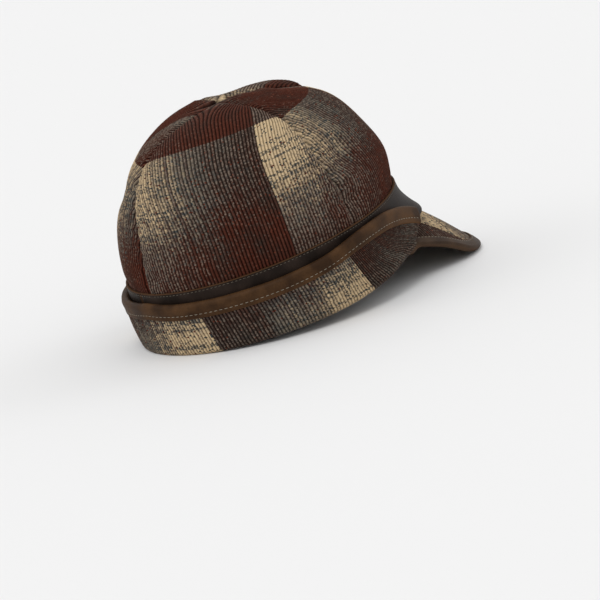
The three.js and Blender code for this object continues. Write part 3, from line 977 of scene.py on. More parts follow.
@dataclass(frozen=True)
class Plaid:
    """Corduroy in shadow plaid, placed on one piece by the sharp edges of its fades, in mm."""

    name: str
    warp_edge: float
    weft_edge: float
    warp_way: float = -1.0
    weft_way: float = -1.0
    repeat: float = REPEAT
    warp_limit: float = 999.0
    redness: float = 1.0
    seed: float = 0.0
    pile_scale: float = 2600.0
    pile_strength: float = 0.55
    pile_depth: float = 0.0003

    def material(self, tree: bpy.types.NodeTree) -> bpy.types.Material:
        """The cloth's material: the plaid, with fine pile as bumps over the piece's own wales.

        Args:
            tree: the plaid's node group.

        Returns:
            The material.
        """
        material, s, shader = bare_material(self.name)
        cloth = s.add("ShaderNodeUVMap", uv_map="cloth").outputs[0]
        plaid = s.add("ShaderNodeGroup", node_tree=tree)
        s.dress(plaid, {
            "Cloth": cloth, "Warp Edge": self.warp_edge, "Weft Edge": self.weft_edge,
            "Warp Way": self.warp_way, "Weft Way": self.weft_way, "Repeat": self.repeat,
            "Warp Limit": self.warp_limit, "Redness": self.redness, "Seed": self.seed})
        pile = s.plus(s.noise(cloth, self.pile_scale, 3), s.times(plaid.outputs["Tuft"], 0.6))
        bump = s.add("ShaderNodeBump", {"Strength": self.pile_strength,
                                        "Distance": self.pile_depth, "Height": pile})
        s.dress(shader, {
            "Base Color": plaid.outputs["Color"], "Normal": bump.outputs[0], "Roughness": 0.95,
            "Specular IOR Level": 0.0, "Sheen Weight": 0.16, "Sheen Roughness": 0.35,
            "Sheen Tint": (.80, .62, .54)})
        return material


@dataclass(frozen=True)
class Leather:
    """Oiled leather: its tone, the tone where it is rubbed and that of its raw edge."""

    name: str
    base: Color
    rubbed: Color
    raw: Color
    grain_strength: float = 0.35
    grain_depth: float = 0.0002

    def material(self, tree: bpy.types.NodeTree) -> bpy.types.Material:
        """The leather's material, with its grain as bumps.

        Args:
            tree: the leather's node group.

        Returns:
            The material.
        """
        material, s, shader = bare_material(self.name)
        leather = s.add("ShaderNodeGroup", node_tree=tree)
        s.dress(leather, {
            "Place": s.add("ShaderNodeTexCoord").outputs["Object"],
            "Edge": s.add("ShaderNodeAttribute", attribute_name="edge").outputs["Fac"],
            "Base": self.base, "Rubbed": self.rubbed, "Raw": self.raw})
        bump = s.add("ShaderNodeBump", {"Strength": self.grain_strength,
                                        "Distance": self.grain_depth,
                                        "Height": leather.outputs["Grain"]})
        s.dress(shader, {
            "Base Color": leather.outputs["Color"], "Roughness": leather.outputs["Roughness"],
            "Normal": bump.outputs[0], "Specular IOR Level": 0.09})
        return material


@dataclass(frozen=True)
class Plain:
    """A plain finish of one colour."""

    name: str
    color: Color
    roughness: float

    def material(self) -> bpy.types.Material:
        """The plain material.

        Returns:
            The material.
        """
        material, s, shader = bare_material(self.name)
        s.dress(shader, {"Base Color": self.color, "Roughness": self.roughness})
        return material


def wale_height(across: Array, depth: float = 0.8) -> Array:
    """Relief of the wales: round ridges with narrow grooves between them, from 0 down to -depth."""
    return depth * (np.abs(np.sin(np.pi * across / WALE)) ** 0.6 - 1)


def normals_of(points: Array, outwards: Array) -> Array:
    """Unit normals of a grid of points, turned to the side of a rough outward direction."""
    normal = unit(np.cross(np.gradient(points, axis=0), np.gradient(points, axis=1)))
    return normal * np.where((normal * outwards).sum(-1, keepdims=True) < 0, -1, 1)


def run_along(path: Array) -> Array:
    """Distance along a path of points, from 0 at its first point."""
    steps = np.linalg.norm(np.diff(path, axis=0), axis=1)
    return np.concatenate([[0], np.cumsum(steps)])


def bell(distance: Array, width: float) -> Array:
    """A bell curve: 1 in the middle, falling off over a width."""
    return np.exp(-(distance / width) ** 2)


def declare(piece: bpy.types.Object, node: str | None) -> None:
    """Hangs a piece on the root body, and hides the solid that it stands for.

    Args:
        piece: the object.
        node: the solid that it stands for, or None for one that only adds to another.
    """
    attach(piece, "root")
    if node:
        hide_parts(node)


class GoreSide(Enum):
    """The four gores of the crown by the angles of their seams."""

    FRONT_RIGHT = (0.0, SIDE_SEAM)
    BACK_RIGHT = (SIDE_SEAM, BACK_SEAM)
    BACK_LEFT = (BACK_SEAM, 360.0 - SIDE_SEAM)
    FRONT_LEFT = (360.0 - SIDE_SEAM, 360.0)


@dataclass
class Gore:
    """One gore of the crown. Its grid follows the wales, which run with the gore's middle line and
    end in the seams: each column is one line of cloth, from the hem up to the seam."""

    shape: CapShape
    side: GoreSide
    cloth: Plaid
    lines_per_wale: int = 6
    rows: int = 78
    hidden_rows: int = 4
    bunching: float = 1.4
    roll: float = 1.5
    roll_width: float = 1.3
    pucker: float = 0.7
    pucker_width: float = 9.0
    pucker_pitches: tuple[float, float] = (11.0, 6.3)
    pucker_run: float = 110.0
    slack: float = 0.35
    slack_waves: tuple[float, float] = (13.0, 17.0)
    seam_fold: float = 1.2
    seam_fold_width: float = 3.0

    def taper(self, angles: Array, climbs: Array) -> Array:
        """Breadth of the gore at each climb, as a share of its breadth at the hem.

        It is the length of the ring of points at that climb over the ring at the hem. It never
        grows on the way up, and it goes to zero at the top.

        Args:
            angles: angles from one seam to the other.
            climbs: climbs from the hem to the top.

        Returns:
            A share for each climb.
        """
        angle, climb = np.meshgrid(angles[::8], climbs)
        rings = self.shape.crown(angle, climb, np.zeros_like(climb))
        widths = np.linalg.norm(np.diff(rings, axis=1), axis=2).sum(axis=1)
        taper = np.minimum.accumulate(np.minimum(widths / widths[0], 1.0))
        return np.maximum(taper - 1e-4 * climbs, 0) * (1 - climbs ** 60)

    def relief(self, across: Array, height: Array, climb: Array, seam: Array) -> Array:
        """How far the cloth stands out from the smooth crown.

        The wales' ridges, less the roll into the seam as a bell curve, plus two waves of puckers
        that die out away from the seam, plus a slow wave for the slack of worn cloth.

        Args:
            across: distance from the gore's middle line.
            height: distance up the cloth from the hem.
            climb: share of the crown's height.
            seam: distance from the nearest seam.

        Returns:
            Distances outwards, below zero where the cloth is drawn in.
        """
        start, end = self.side.value
        first, second = (2 * np.pi * self.pucker_run * climb / v for v in self.pucker_pitches)
        wave = np.sin(first + start) + 0.6 * np.sin(second + end)
        wide, tall = self.slack_waves
        slack = np.sin(across / wide + 2 * np.sin(height / tall))
        return (wale_height(across) * smooth_step(0, 1.2, seam)
                - self.roll * bell(np.maximum(seam, 0), self.roll_width)
                + self.pucker * wave * np.exp(-seam / self.pucker_width)
                * smooth_step(0, 3, seam) * smooth_step(0, 0.15, climb)
                + self.slack * slack * smooth_step(0, 0.2, climb) * smooth_step(0, 12, seam))

    def surface(self) -> tuple[Surface, float, float, float]:
        """Builds the gore: ribbed outer face, plain inner face, edges rolled into the seams.

        A line of cloth at a share of the breadth climbs until the gore's taper is down to that
        share. At each point its place between the seams is the share over the taper there.

        Returns:
            The surface, and the flat cut's width, length and area in metres.
        """
        start, end = self.side.value
        angles, climbs = np.linspace(start, end, 400), np.linspace(0, 1, 201)
        still = np.zeros_like(angles)
        arc = run_along(self.shape.crown(angles, still, still))
        length = arc[-1]
        taper = self.taper(angles, climbs)
        count = int(round(length / WALE)) * self.lines_per_wale
        share = np.linspace(-1, 1, count + 1)
        top = np.interp(-np.abs(share), -taper, climbs)
        steps = np.concatenate([np.linspace(-1, 0, self.hidden_rows, endpoint=False),
                                1 - (1 - np.linspace(0, 1, self.rows)) ** self.bunching])
        climb = np.where(steps[None, :] < 0, steps[None, :], steps[None, :] * top[:, None])
        here = np.interp(np.maximum(climb, 0), climbs, taper)
        ratio = np.clip(share[:, None] / np.maximum(here, 1e-6), -1, 1)
        ratio[:, -1] = np.where(np.abs(share) > 1e-6, np.sign(share), 0.0)
        angle = np.interp((ratio + 1) / 2 * length, arc, angles)

        base = self.shape.crown(angle, climb, np.zeros_like(climb))
        along = np.linalg.norm(np.diff(base, axis=1), axis=2)
        height = np.concatenate([np.zeros((count + 1, 1)), np.cumsum(along, axis=1)], axis=1)
        height -= height[:, self.hidden_rows:self.hidden_rows + 1]
        across = np.broadcast_to(share[:, None] * length / 2, climb.shape)
        seam = (here - np.abs(share[:, None])) * length / 2
        outer = self.shape.crown(angle, climb, -self.relief(across, height, climb, seam))
        deeper = self.shape.size.crown_wall + self.seam_fold * bell(seam, self.seam_fold_width)
        inner = self.shape.crown(angle, climb, deeper)

        cells = np.cross(np.diff(base, axis=0)[:, :-1], np.diff(base, axis=1)[:-1])
        flat_area = float(np.linalg.norm(cells, axis=2).sum()) * MM ** 2
        tall = float(height.max() - height.min()) * MM
        cloth = np.stack([across, height], axis=-1)
        return sheet_surface(outer, inner, cloth), length * MM, tall, flat_area

    def build(self, resting: Resting, tree: bpy.types.NodeTree) -> None:
        """Args:
            resting: where the cap rests.
            tree: the plaid's node group.
        """
        surface, wide, tall, area = self.surface()
        node = "crown_gore_" + self.side.name.lower()
        piece = build_mesh(f"cloth_{node}", surface, resting, self.cloth.material(tree))
        declare(piece, node)


@dataclass(frozen=True)
class Stitching:
    """A row of stitches: its thread, the pitch, the share of the pitch that the thread covers,
    half the thread's thickness and how far it is sunk into the leather."""

    thread: Plain
    pitch: float
    cover: float
    radius: float
    sunk: float
    sides: int = 6
    profile: tuple = ((-1.0, 0.02), (-0.9, 0.6), (-0.5, 1.0), (0.5, 1.0), (0.9, 0.6), (1.0, 0.02))

    def surface(self, path: Array, normals: Array) -> Surface:
        """Round-ended threads laid one after another along a path.

        Each thread is a row of rings, one for each place and share of the radius in the profile.
        A ring's points lie at a turn between the side direction and the normal. Its middle is
        sunk where it is thinner, so that the thread's ends go down into the leather.

        Args:
            path: points along the row, in millimetres.
            normals: outward directions at those points.

        Returns:
            All the stitches as one surface.
        """
        arc = run_along(path)
        count = int(arc[-1] / self.pitch)
        starts = (np.arange(count) + 0.5) * arc[-1] / count
        places, shares = np.array(self.profile).T
        at = starts[:, None] + places[None, :] * self.pitch * self.cover / 2

        def sample(values: Array) -> Array:
            """Values along the path at the rings' places."""
            return np.stack([np.interp(at, arc, values[:, k]) for k in range(3)], axis=-1)

        centre, normal = sample(path), unit(sample(normals))
        side = unit(np.cross(normal, unit(np.gradient(centre, axis=1))))
        turn = np.linspace(0, 2 * np.pi, self.sides + 1)[:-1, None]
        ring = np.cos(turn) * side[:, :, None] + np.sin(turn) * normal[:, :, None]
        centre = centre - normal * (1.2 * self.radius * (1 - shares))[:, None]
        points = centre[:, :, None] + ring * (self.radius * shares)[:, None, None]

        each, last = shares.size * self.sides, (shares.size - 1) * self.sides
        first_end = np.array([[3, 2, 1, 0], [5, 4, 3, 0]])
        last_end = np.array([[0, 1, 2, 3], [0, 3, 4, 5]]) + last
        one = np.concatenate([grid_faces(shares.size, self.sides, wrap=True), first_end, last_end])
        faces = (one[None] + np.arange(count)[:, None, None] * each).reshape(-1, 4)
        return Surface(points.reshape(-1, 3), faces, np.zeros((count * each, 2)))

    def build(self, name: str, path: Array, normals: Array, resting: Resting) -> None:
        """Args:
            name: the piece's name.
            path: points along the row, in millimetres.
            normals: outward directions at those points.
            resting: where the cap rests.
        """
        row = build_mesh(name, self.surface(path, normals), resting, self.thread.material())
        declare(row, None)


@dataclass(frozen=True)
class LeatherEdge:
    """The profile of folded leather up from its cut edge: how deep and far the edge is rounded,
    the groove under the stitches, and the low swell above it."""

    rounding: float
    rounded: float
    stitch: float
    swell: float
    swell_at: float
    swell_width: float
    groove: float = 0.25
    groove_width: float = 0.8
    dyed: float = 0.5

    def lift(self, rise: Array) -> Array:
        """Change of the leather's thickness: less the square of the share left of the rounding,
        less a bell curve at the stitches, plus a bell curve at the swell.

        Args:
            rise: distance up from the cut edge.

        Returns:
            Distances outwards.
        """
        left = np.clip(1 - rise / self.rounded, 0, 1)
        return (self.swell * bell(rise - self.swell_at, self.swell_width)
                - self.groove * bell(rise - self.stitch, self.groove_width)
                - self.rounding * left ** 2)

    def bare(self, rise: Array) -> Array:
        """How bare and dyed the cut edge is, as a bell curve at it."""
        return bell(rise, self.dyed)


@dataclass
class CrownBand:
    """The leather band: one strip with pared ends that lap at the back, and its stitches."""

    shape: CapShape
    leather: Leather
    stitching: Stitching
    columns: int = 520
    lap_columns: int = 12
    rows: int = 16
    rounded: float = 0.5
    stitch_drop: float = 1.6
    groove: float = 0.22
    groove_width: float = 0.7
    wave: float = 0.16
    raw_edge: float = 0.4
    path_points: int = 1500

    def surface(self) -> Surface:
        """Builds the strip, rounded at its edges, with a groove under its stitches.

        Its start is pared on the outside and its end on the inside, each by half of the wall and
        the gap, so that the lap is as thick as the rest.

        Returns:
            The surface.
        """
        size, shape = self.shape.size, self.shape
        start, end = size.band_join, size.band_join + 360
        lap = math.degrees(size.band_overlap / size.half_width)
        slack = math.degrees(2 * size.gap / size.half_width)
        angle = np.concatenate([np.linspace(start, start + lap, self.lap_columns),
                                np.linspace(start + lap + slack, end - slack, self.columns),
                                np.linspace(end, end + lap, self.lap_columns)])
        rise = np.concatenate([[0, 0.02], np.linspace(0.06, 0.86, self.rows),
                               np.linspace(0.88, 1, self.rows)])
        angle, rise = np.meshgrid(angle, rise, indexing="ij")
        up = size.band_top - size.band_height * (1 - rise)
        below = size.band_top - up

        pared = (size.band_wall + size.gap) / 2
        start_cut = pared * (1 - smooth_step(start + lap + slack, start + 1.5 * lap, angle))
        end_cut = pared * smooth_step(end - 0.5 * lap, end - slack, angle)
        round_off = self.rounded * np.clip(1 - below / self.rounded, 0, 1) ** 2
        groove = self.groove * bell(below - self.stitch_drop, self.groove_width)
        wave = self.wave * np.sin(np.radians(angle) * 11 + up / 6) * np.sin(np.pi * rise)
        out = shape.flare(angle, up)
        relief = wave * (start_cut == 0) - start_cut - round_off - groove
        outer = shape.oval(angle, out + relief, up)
        inner = shape.oval(angle, out - size.band_wall + end_cut, up)
        edge = np.maximum(bell(below, self.raw_edge), 0.5 * (start_cut > 0.3 * pared))
        return sheet_surface(outer, inner, np.stack([angle, up], axis=-1), edge)

    def build(self, resting: Resting, tree: bpy.types.NodeTree) -> None:
        """Args:
            resting: where the cap rests.
            tree: the leather's node group.
        """
        size, shape = self.shape.size, self.shape
        piece = build_mesh("band_leather_strip", self.surface(), resting,
                           self.leather.material(tree))
        declare(piece, "crown_band")
        angle = np.linspace(size.band_join + 2, size.band_join + 360, self.path_points)
        up = np.full_like(angle, size.band_top - self.stitch_drop)
        path = shape.oval(angle, shape.flare(angle, up) - self.stitching.sunk, up)
        normals = shape.oval(angle, OUTWARD, up) - shape.oval(angle, 0.0, up)
        self.stitching.build("stitches_crown_band", path, normals, resting)


@dataclass
class EarBand:
    """The padded ear band: its section runs from the foot under the crown's hem, round the fold
    and up to the trim, and back down inside. Its wales fan forward at its ends."""

    shape: CapShape
    cloth: Plaid
    columns: int = 1120
    crowding: float = 0.045
    fold_rows: int = 9
    rows: int = 53
    slant: float = 0.12
    slant_width: float = 20.0
    fan: float = 1.15
    fan_from: float = 95.0
    fan_past: float = 18.0
    fan_growth: float = 60.0
    inner_radius: float = 1.0
    bulge: float = 0.9
    end_round: float = 2.2
    least_foot: float = 0.6
    foot_from: float = 6.0
    foot_full: float = 18.0
    middle_offset: float = 4.0

    def foot(self, angle: Array) -> Array:
        """How far the foot reaches in under the crown's hem.

        It grows by a smooth step from its least near the ends of the band to its full reach.

        Args:
            angle: angles round the cap in degrees.

        Returns:
            Distances inwards.
        """
        size = self.shape.size
        full = self.shape.inset + size.crown_wall + size.gap
        grown = smooth_step(size.ear_end + self.foot_from, size.ear_end + self.foot_full,
                            from_front(angle))
        return self.least_foot + (full - self.least_foot) * grown

    def fold(self, run: Array, turn: float, radius: float, foot: bool) -> Array:
        """Points of the lower fold, a quarter of a circle, or of the foot inside it.

        Args:
            run: shares of the way round the cap.
            turn: turn round the fold in degrees, 0 at its lowest and 90 at its outside.
            radius: radius of the face round the fold.
            foot: whether these are points of the foot.

        Returns:
            The points.
        """
        size, shape = self.shape.size, self.shape
        outer_radius = self.inner_radius + size.ear_wall
        angle = shape.ear_angle(run, np.asarray(outer_radius * turn / 90))
        low = shape.ear_low(angle)
        up = low + outer_radius - radius * math.cos(math.radians(turn))
        centre = shape.ear_stand_off(angle, low + outer_radius) - self.inner_radius
        inwards = self.foot(angle) if foot else 0.0
        return shape.oval(angle, centre + radius * math.sin(math.radians(turn)) - inwards, up)

    def upright(self, run: Array, share: float, edge: float, side: float) -> Array:
        """Points of the upright part, or round its upper edge.

        The faces lie half of the wall to each side of the middle. The padding bulges the outer
        one by the sine of its height. Towards the ends of the band the wall thins to a round end.

        Args:
            run: shares of the way round the cap.
            share: share of the part's height.
            edge: turn round the upper edge in degrees, 0 below it.
            side: 1 for the outer face, -1 for the inner one.

        Returns:
            The points.
        """
        size, shape = self.shape.size, self.shape
        edge_round = size.ear_wall / 2
        top_angle = shape.ear_top_angle(run)
        low = shape.ear_low(top_angle) + self.inner_radius + size.ear_wall
        centre = low + (shape.ear_top(top_angle) - edge_round - low) * share
        angle = shape.ear_angle(run, centre)
        middle = shape.ear_stand_off(angle, centre) + size.ear_wall / 2
        tip = np.minimum(run, 1 - run) * size.ear_run
        thin = np.sqrt(np.clip(1 - (1 - np.clip(tip / self.end_round, 0, 1)) ** 2, 0.04, 1))
        half = edge_round * math.cos(math.radians(edge)) * thin
        puffed = self.bulge * math.sin(math.pi * share) ** 0.8 * thin if share < 1 else 0.0
        out = middle + side * half + (puffed if side > 0 else 0.0)
        return shape.oval(angle, out, centre + edge_round * math.sin(math.radians(edge)))

    def arc_of(self, points: Array) -> Array:
        """Distance of points round the cap from the back, above zero on the right.

        Args:
            points: points in the cap's own frame.

        Returns:
            Distances along an oval through the middle of the band.
        """
        size, offset = self.shape.size, self.middle_offset
        angles = np.linspace(0, 360, 721)
        arc = run_along(self.shape.oval(angles, offset, 0.0))
        turn = np.degrees(np.arctan2(-points[..., 0] / (size.half_width + offset),
                                     -points[..., 1] / (size.half_length + offset)))
        return arc[-1] / 2 - np.interp(np.mod(turn, 360), angles, arc)

    def surface(self) -> Surface:
        """Builds the closed sections, with ribs on the outer face.

        A point's place across the wales is its distance round the cap plus a lean that grows
        with its height: a small slant everywhere, and the fan towards both ends. Columns are
        crowded where the wales fan.

        Returns:
            The surface.
        """
        inner_radius, outer_radius = self.inner_radius, self.inner_radius + self.shape.size.ear_wall
        even = np.linspace(0, 1, self.columns)
        waved = np.sin(4 * np.pi * even) * np.abs(np.cos(np.pi * even))
        run = even - self.crowding * waved
        rows = [self.fold(run, 0, radius, True) for radius in (inner_radius, outer_radius)]
        foot_rows = len(rows)
        turns = np.linspace(0, 90, self.fold_rows)
        rows += [self.fold(run, turn, outer_radius, False) for turn in turns]
        fold_end = len(rows) - 1
        rows += [self.upright(run, share, 0, 1) for share in np.linspace(0.03, 1, self.rows)]
        ribbed = len(rows)
        rows += [self.upright(run, 1, edge, 1) for edge in (30, 60)]
        rows += [self.upright(run, 1, edge, -1) for edge in (80, 60, 30)]
        rows += [self.upright(run, share, 0, -1) for share in (1, 0.7, 0.4, 0.15, 0.0)]
        rows += [self.fold(run, turn, inner_radius, False) for turn in (60, 30, 0)]
        points = np.stack(rows, axis=1)

        along = np.linalg.norm(np.diff(points[:, :ribbed], axis=1), axis=2)
        height = np.zeros(points.shape[:2])
        height[:, 1:ribbed] = np.cumsum(along, axis=1)
        height[:, ribbed:] = height[:, ribbed - 1:ribbed]
        arc = self.arc_of(points)
        half = float(arc[:, fold_end].max())
        fan = smooth_step(half - self.fan_from, half + self.fan_past, np.abs(arc)) * np.sign(arc)
        lean = self.slant * np.tanh(arc / self.slant_width) + self.fan * fan
        rise = height - height[:, fold_end:fold_end + 1]
        across = arc + lean * (rise + np.maximum(rise, 0) ** 2 / self.fan_growth)

        face = points[:, 1:ribbed]
        normal = normals_of(face, face - np.array([0, 0, 30.0]))
        ribs = wale_height(across[:, 1:ribbed])
        ribs[:, :foot_rows] = 0
        tip = smooth_step(0, 2.0, (np.minimum(run, 1 - run) * 2 * half))[:, None]
        points[:, 1:ribbed] = face + normal * (ribs * tip)[..., None]
        return ring_surface(points, np.stack([across, height], axis=-1))

    def build(self, resting: Resting, tree: bpy.types.NodeTree) -> None:
        """Args:
            resting: where the cap rests.
            tree: the plaid's node group.
        """
        piece = build_mesh("cloth_ear_band", self.surface(), resting, self.cloth.material(tree))
        declare(piece, "ear_band")


@dataclass
class Trim:
    """The leather trim folded over the ear band's upper edge, and its stitches."""

    shape: CapShape
    leather: Leather
    stitching: Stitching
    columns: int = 540
    outer_rows: int = 22
    edge_rows: int = 12
    inner_rows: int = 4
    waviness: float = 0.10
    path_points: int = 1500
    edge: LeatherEdge = LeatherEdge(rounding=0.35, rounded=0.8, stitch=3.0, swell=0.15,
                                    swell_at=6.5, swell_width=2.4)

    def point(self, run: Array, down: float, turn: float, clear: Array | float) -> Array:
        """Points of the trim, which follows the ear band's upright part and its round edge.

        Args:
            run: shares of the way round the cap.
            down: distance down a leg from the fold's top, 0 where it turns over the edge.
            turn: turn over the edge in degrees, 0 on the outer leg and 180 on the inner one.
            clear: distance off the ear band's faces.

        Returns:
            The points.
        """
        size, shape = self.shape.size, self.shape
        edge_round = size.ear_wall / 2
        thickness = size.trim_wall + size.gap + edge_round
        centre = shape.trim_top(shape.ear_top_angle(run)) - thickness
        leg = down - thickness if down > 0 else 0.0
        angle = shape.ear_angle(run, centre - leg)
        middle = shape.ear_stand_off(angle, centre - leg) + edge_round
        across = math.cos(math.radians(turn)) * (edge_round + clear)
        up = centre + math.sin(math.radians(turn)) * (edge_round + clear) - leg
        return shape.oval(angle, middle + across, up)

    def stations(self) -> list[tuple[float, float]]:
        """Where the rows of the trim's grid lie, from the outer leg over the edge to the inner one.

        Returns:
            Distances down the legs with turns over the edge.
        """
        size = self.shape.size
        least = size.trim_wall + size.gap + size.ear_wall / 2 + 0.2
        outer = [(down, 0.0) for down in np.linspace(size.trim_height, least, self.outer_rows)]
        inner = [(down, 180.0) for down in np.linspace(least, size.trim_tuck, self.inner_rows)]
        return outer + [(0.0, turn) for turn in np.linspace(8, 172, self.edge_rows)] + inner

    def surface(self) -> Surface:
        """Builds the folded strip: its lower edge rounded and dyed, a groove under the stitches.

        Returns:
            The surface.
        """
        size = self.shape.size
        run = np.linspace(0, 1, self.columns)
        outer, inner, edges, cloth = [], [], [], []
        for down, turn in self.stations():
            rise = size.trim_height - down if turn == 0 else FAR
            wave = self.waviness * np.sin(run * 61) * np.sin(run * 23 + down)
            clear = size.gap + size.trim_wall + self.edge.lift(rise) + wave
            outer.append(self.point(run, down, turn, clear))
            inner.append(self.point(run, down, turn, size.gap))
            edges.append(np.full_like(run, 0.8 * self.edge.bare(rise)))
            cloth.append(np.stack([run * size.ear_run, np.full_like(run, down)], axis=-1))
        return sheet_surface(*(np.stack(rows, axis=1) for rows in (outer, inner, cloth, edges)))

    def build(self, resting: Resting, tree: bpy.types.NodeTree) -> None:
        """Args:
            resting: where the cap rests.
            tree: the leather's node group.
        """
        size = self.shape.size
        piece = build_mesh("ear_trim_leather", self.surface(), resting, self.leather.material(tree))
        declare(piece, "ear_band_trim")
        run = np.linspace(0.004, 0.996, self.path_points)
        down = size.trim_height - self.edge.stitch
        path = self.point(run, down, 0, size.gap + size.trim_wall - self.stitching.sunk)
        normals = self.point(run, down, 0, OUTWARD) - path
        self.stitching.build("stitches_ear_trim", path, normals, resting)


@dataclass
class Peak:
    """The peak: corduroy over a board, its wales running from side to side."""

    shape: CapShape
    cloth: Plaid
    columns: int = 350
    rows: int = 140
    lower_rows: int = 12

    def surface(self) -> Surface:
        """Builds the closed sections from root to edge, with ribs on the upper face.

        The cloth's place across the wales is the distance ahead of the band, and along them the
        distance to the right.

        Returns:
            The surface.
        """
        size, rows, lower = self.shape.size, self.rows, self.lower_rows
        across = np.sin(np.linspace(-1, 1, self.columns) * np.pi / 2)[:, None]
        out = np.concatenate([np.linspace(0, 1, rows), np.linspace(1, 0, lower)])[None, :]
        depth = np.concatenate([np.zeros(rows), np.full(lower, size.peak_wall)])[None, :]
        across, out, depth = np.broadcast_arrays(across, out, depth)
        points = self.shape.peak_point(across, out, depth)
        cloth = np.stack([-points[..., 1] - size.half_length, -points[..., 0]], axis=-1)
        normal, _ = self.shape.peak_directions(across[:, :rows], out[:, :rows])
        ribs = wale_height(cloth[:, :rows, 0]) * smooth_step(0, 0.04, out[:, :rows])
        points[:, :rows] += unit(normal) * ribs[..., None]
        return ring_surface(points, cloth)

    def build(self, resting: Resting, tree: bpy.types.NodeTree) -> None:
        """Args:
            resting: where the cap rests.
            tree: the plaid's node group.
        """
        piece = build_mesh("cloth_peak", self.surface(), resting, self.cloth.material(tree))
        declare(piece, "peak")


@dataclass
class Binding:
    """The leather folded round the peak's edge, and its stitches."""

    shape: CapShape
    leather: Leather
    stitching: Stitching
    columns: int = 320
    rows: int = 16
    turns: int = 13
    path_points: int = 900
    path_end: float = 0.97
    edge: LeatherEdge = LeatherEdge(rounding=0.4, rounded=0.7, stitch=1.4, swell=0.12,
                                    swell_at=4.5, swell_width=2.0)

    def points(self, across: Array, inward: Array, turn: Array, clear: Array) -> Array:
        """Points of the binding.

        Args:
            across: shares of the way from the peak's middle to its corners.
            inward: shares of the binding's width in from the peak's edge.
            turn: turn round the edge in radians, 0 above the peak and half a turn below it.
            clear: distance off the peak's faces.

        Returns:
            The points.
        """
        size, shape = self.shape.size, self.shape
        breadth = np.linalg.norm(shape.peak_root_point(across) - shape.peak_rim(across), axis=-1)
        back = np.minimum(size.binding_width / breadth, 0.8) * inward
        depth = size.peak_wall / 2 - np.cos(turn) * (size.peak_wall / 2 + clear)
        _, edgeward = shape.peak_directions(across, np.ones_like(across))
        base = shape.peak_point(across, 1 - back, depth)
        return base + edgeward * ((clear + size.gap) * np.sin(turn))[..., None]

    def surface(self) -> Surface:
        """Builds the folded strip, its upper edge rounded and its fold rubbed.

        Returns:
            The surface.
        """
        size = self.shape.size
        across = np.sin(np.linspace(-1, 1, self.columns) * np.pi / 2)[:, None]
        upper = np.linspace(1, 0.04, self.rows)
        lower = upper[::-3]
        inward = np.concatenate([upper, np.zeros(self.turns), lower])[None, :]
        turn = np.radians(np.concatenate([np.zeros(self.rows), np.linspace(10, 170, self.turns),
                                          np.full(lower.size, 180)]))[None, :]
        across, inward, turn = np.broadcast_arrays(across, inward, turn)
        rise = np.where(turn == 0, (1 - inward) * size.binding_width, FAR)
        lift = size.binding_wall + self.edge.lift(rise)
        outer = self.points(across, inward, turn, size.gap + lift)
        inner = self.points(across, inward, turn, np.full_like(lift, size.gap))
        rubbed = 0.55 * bell(np.degrees(turn) - 95, 38) * (turn > 0)
        cloth = np.stack([across * 90, inward * size.binding_width], axis=-1)
        return sheet_surface(outer, inner, cloth, np.maximum(0.7 * self.edge.bare(rise), rubbed))

    def build(self, resting: Resting, tree: bpy.types.NodeTree) -> None:
        """Args:
            resting: where the cap rests.
            tree: the leather's node group.
        """
        size = self.shape.size
        piece = build_mesh("peak_binding_leather", self.surface(), resting,
                           self.leather.material(tree))
        declare(piece, "peak_binding")
        across = np.linspace(-self.path_end, self.path_end, self.path_points)
        across = np.sin(across * np.pi / 2)
        inward = np.full_like(across, 1 - self.edge.stitch / size.binding_width)
        still = np.zeros_like(across)
        clear = still + size.gap + size.binding_wall - self.stitching.sunk
        path = self.points(across, inward, still, clear)
        normals = self.points(across, inward, still, still + OUTWARD) - path
        self.stitching.build("stitches_peak_binding", path, normals, resting)


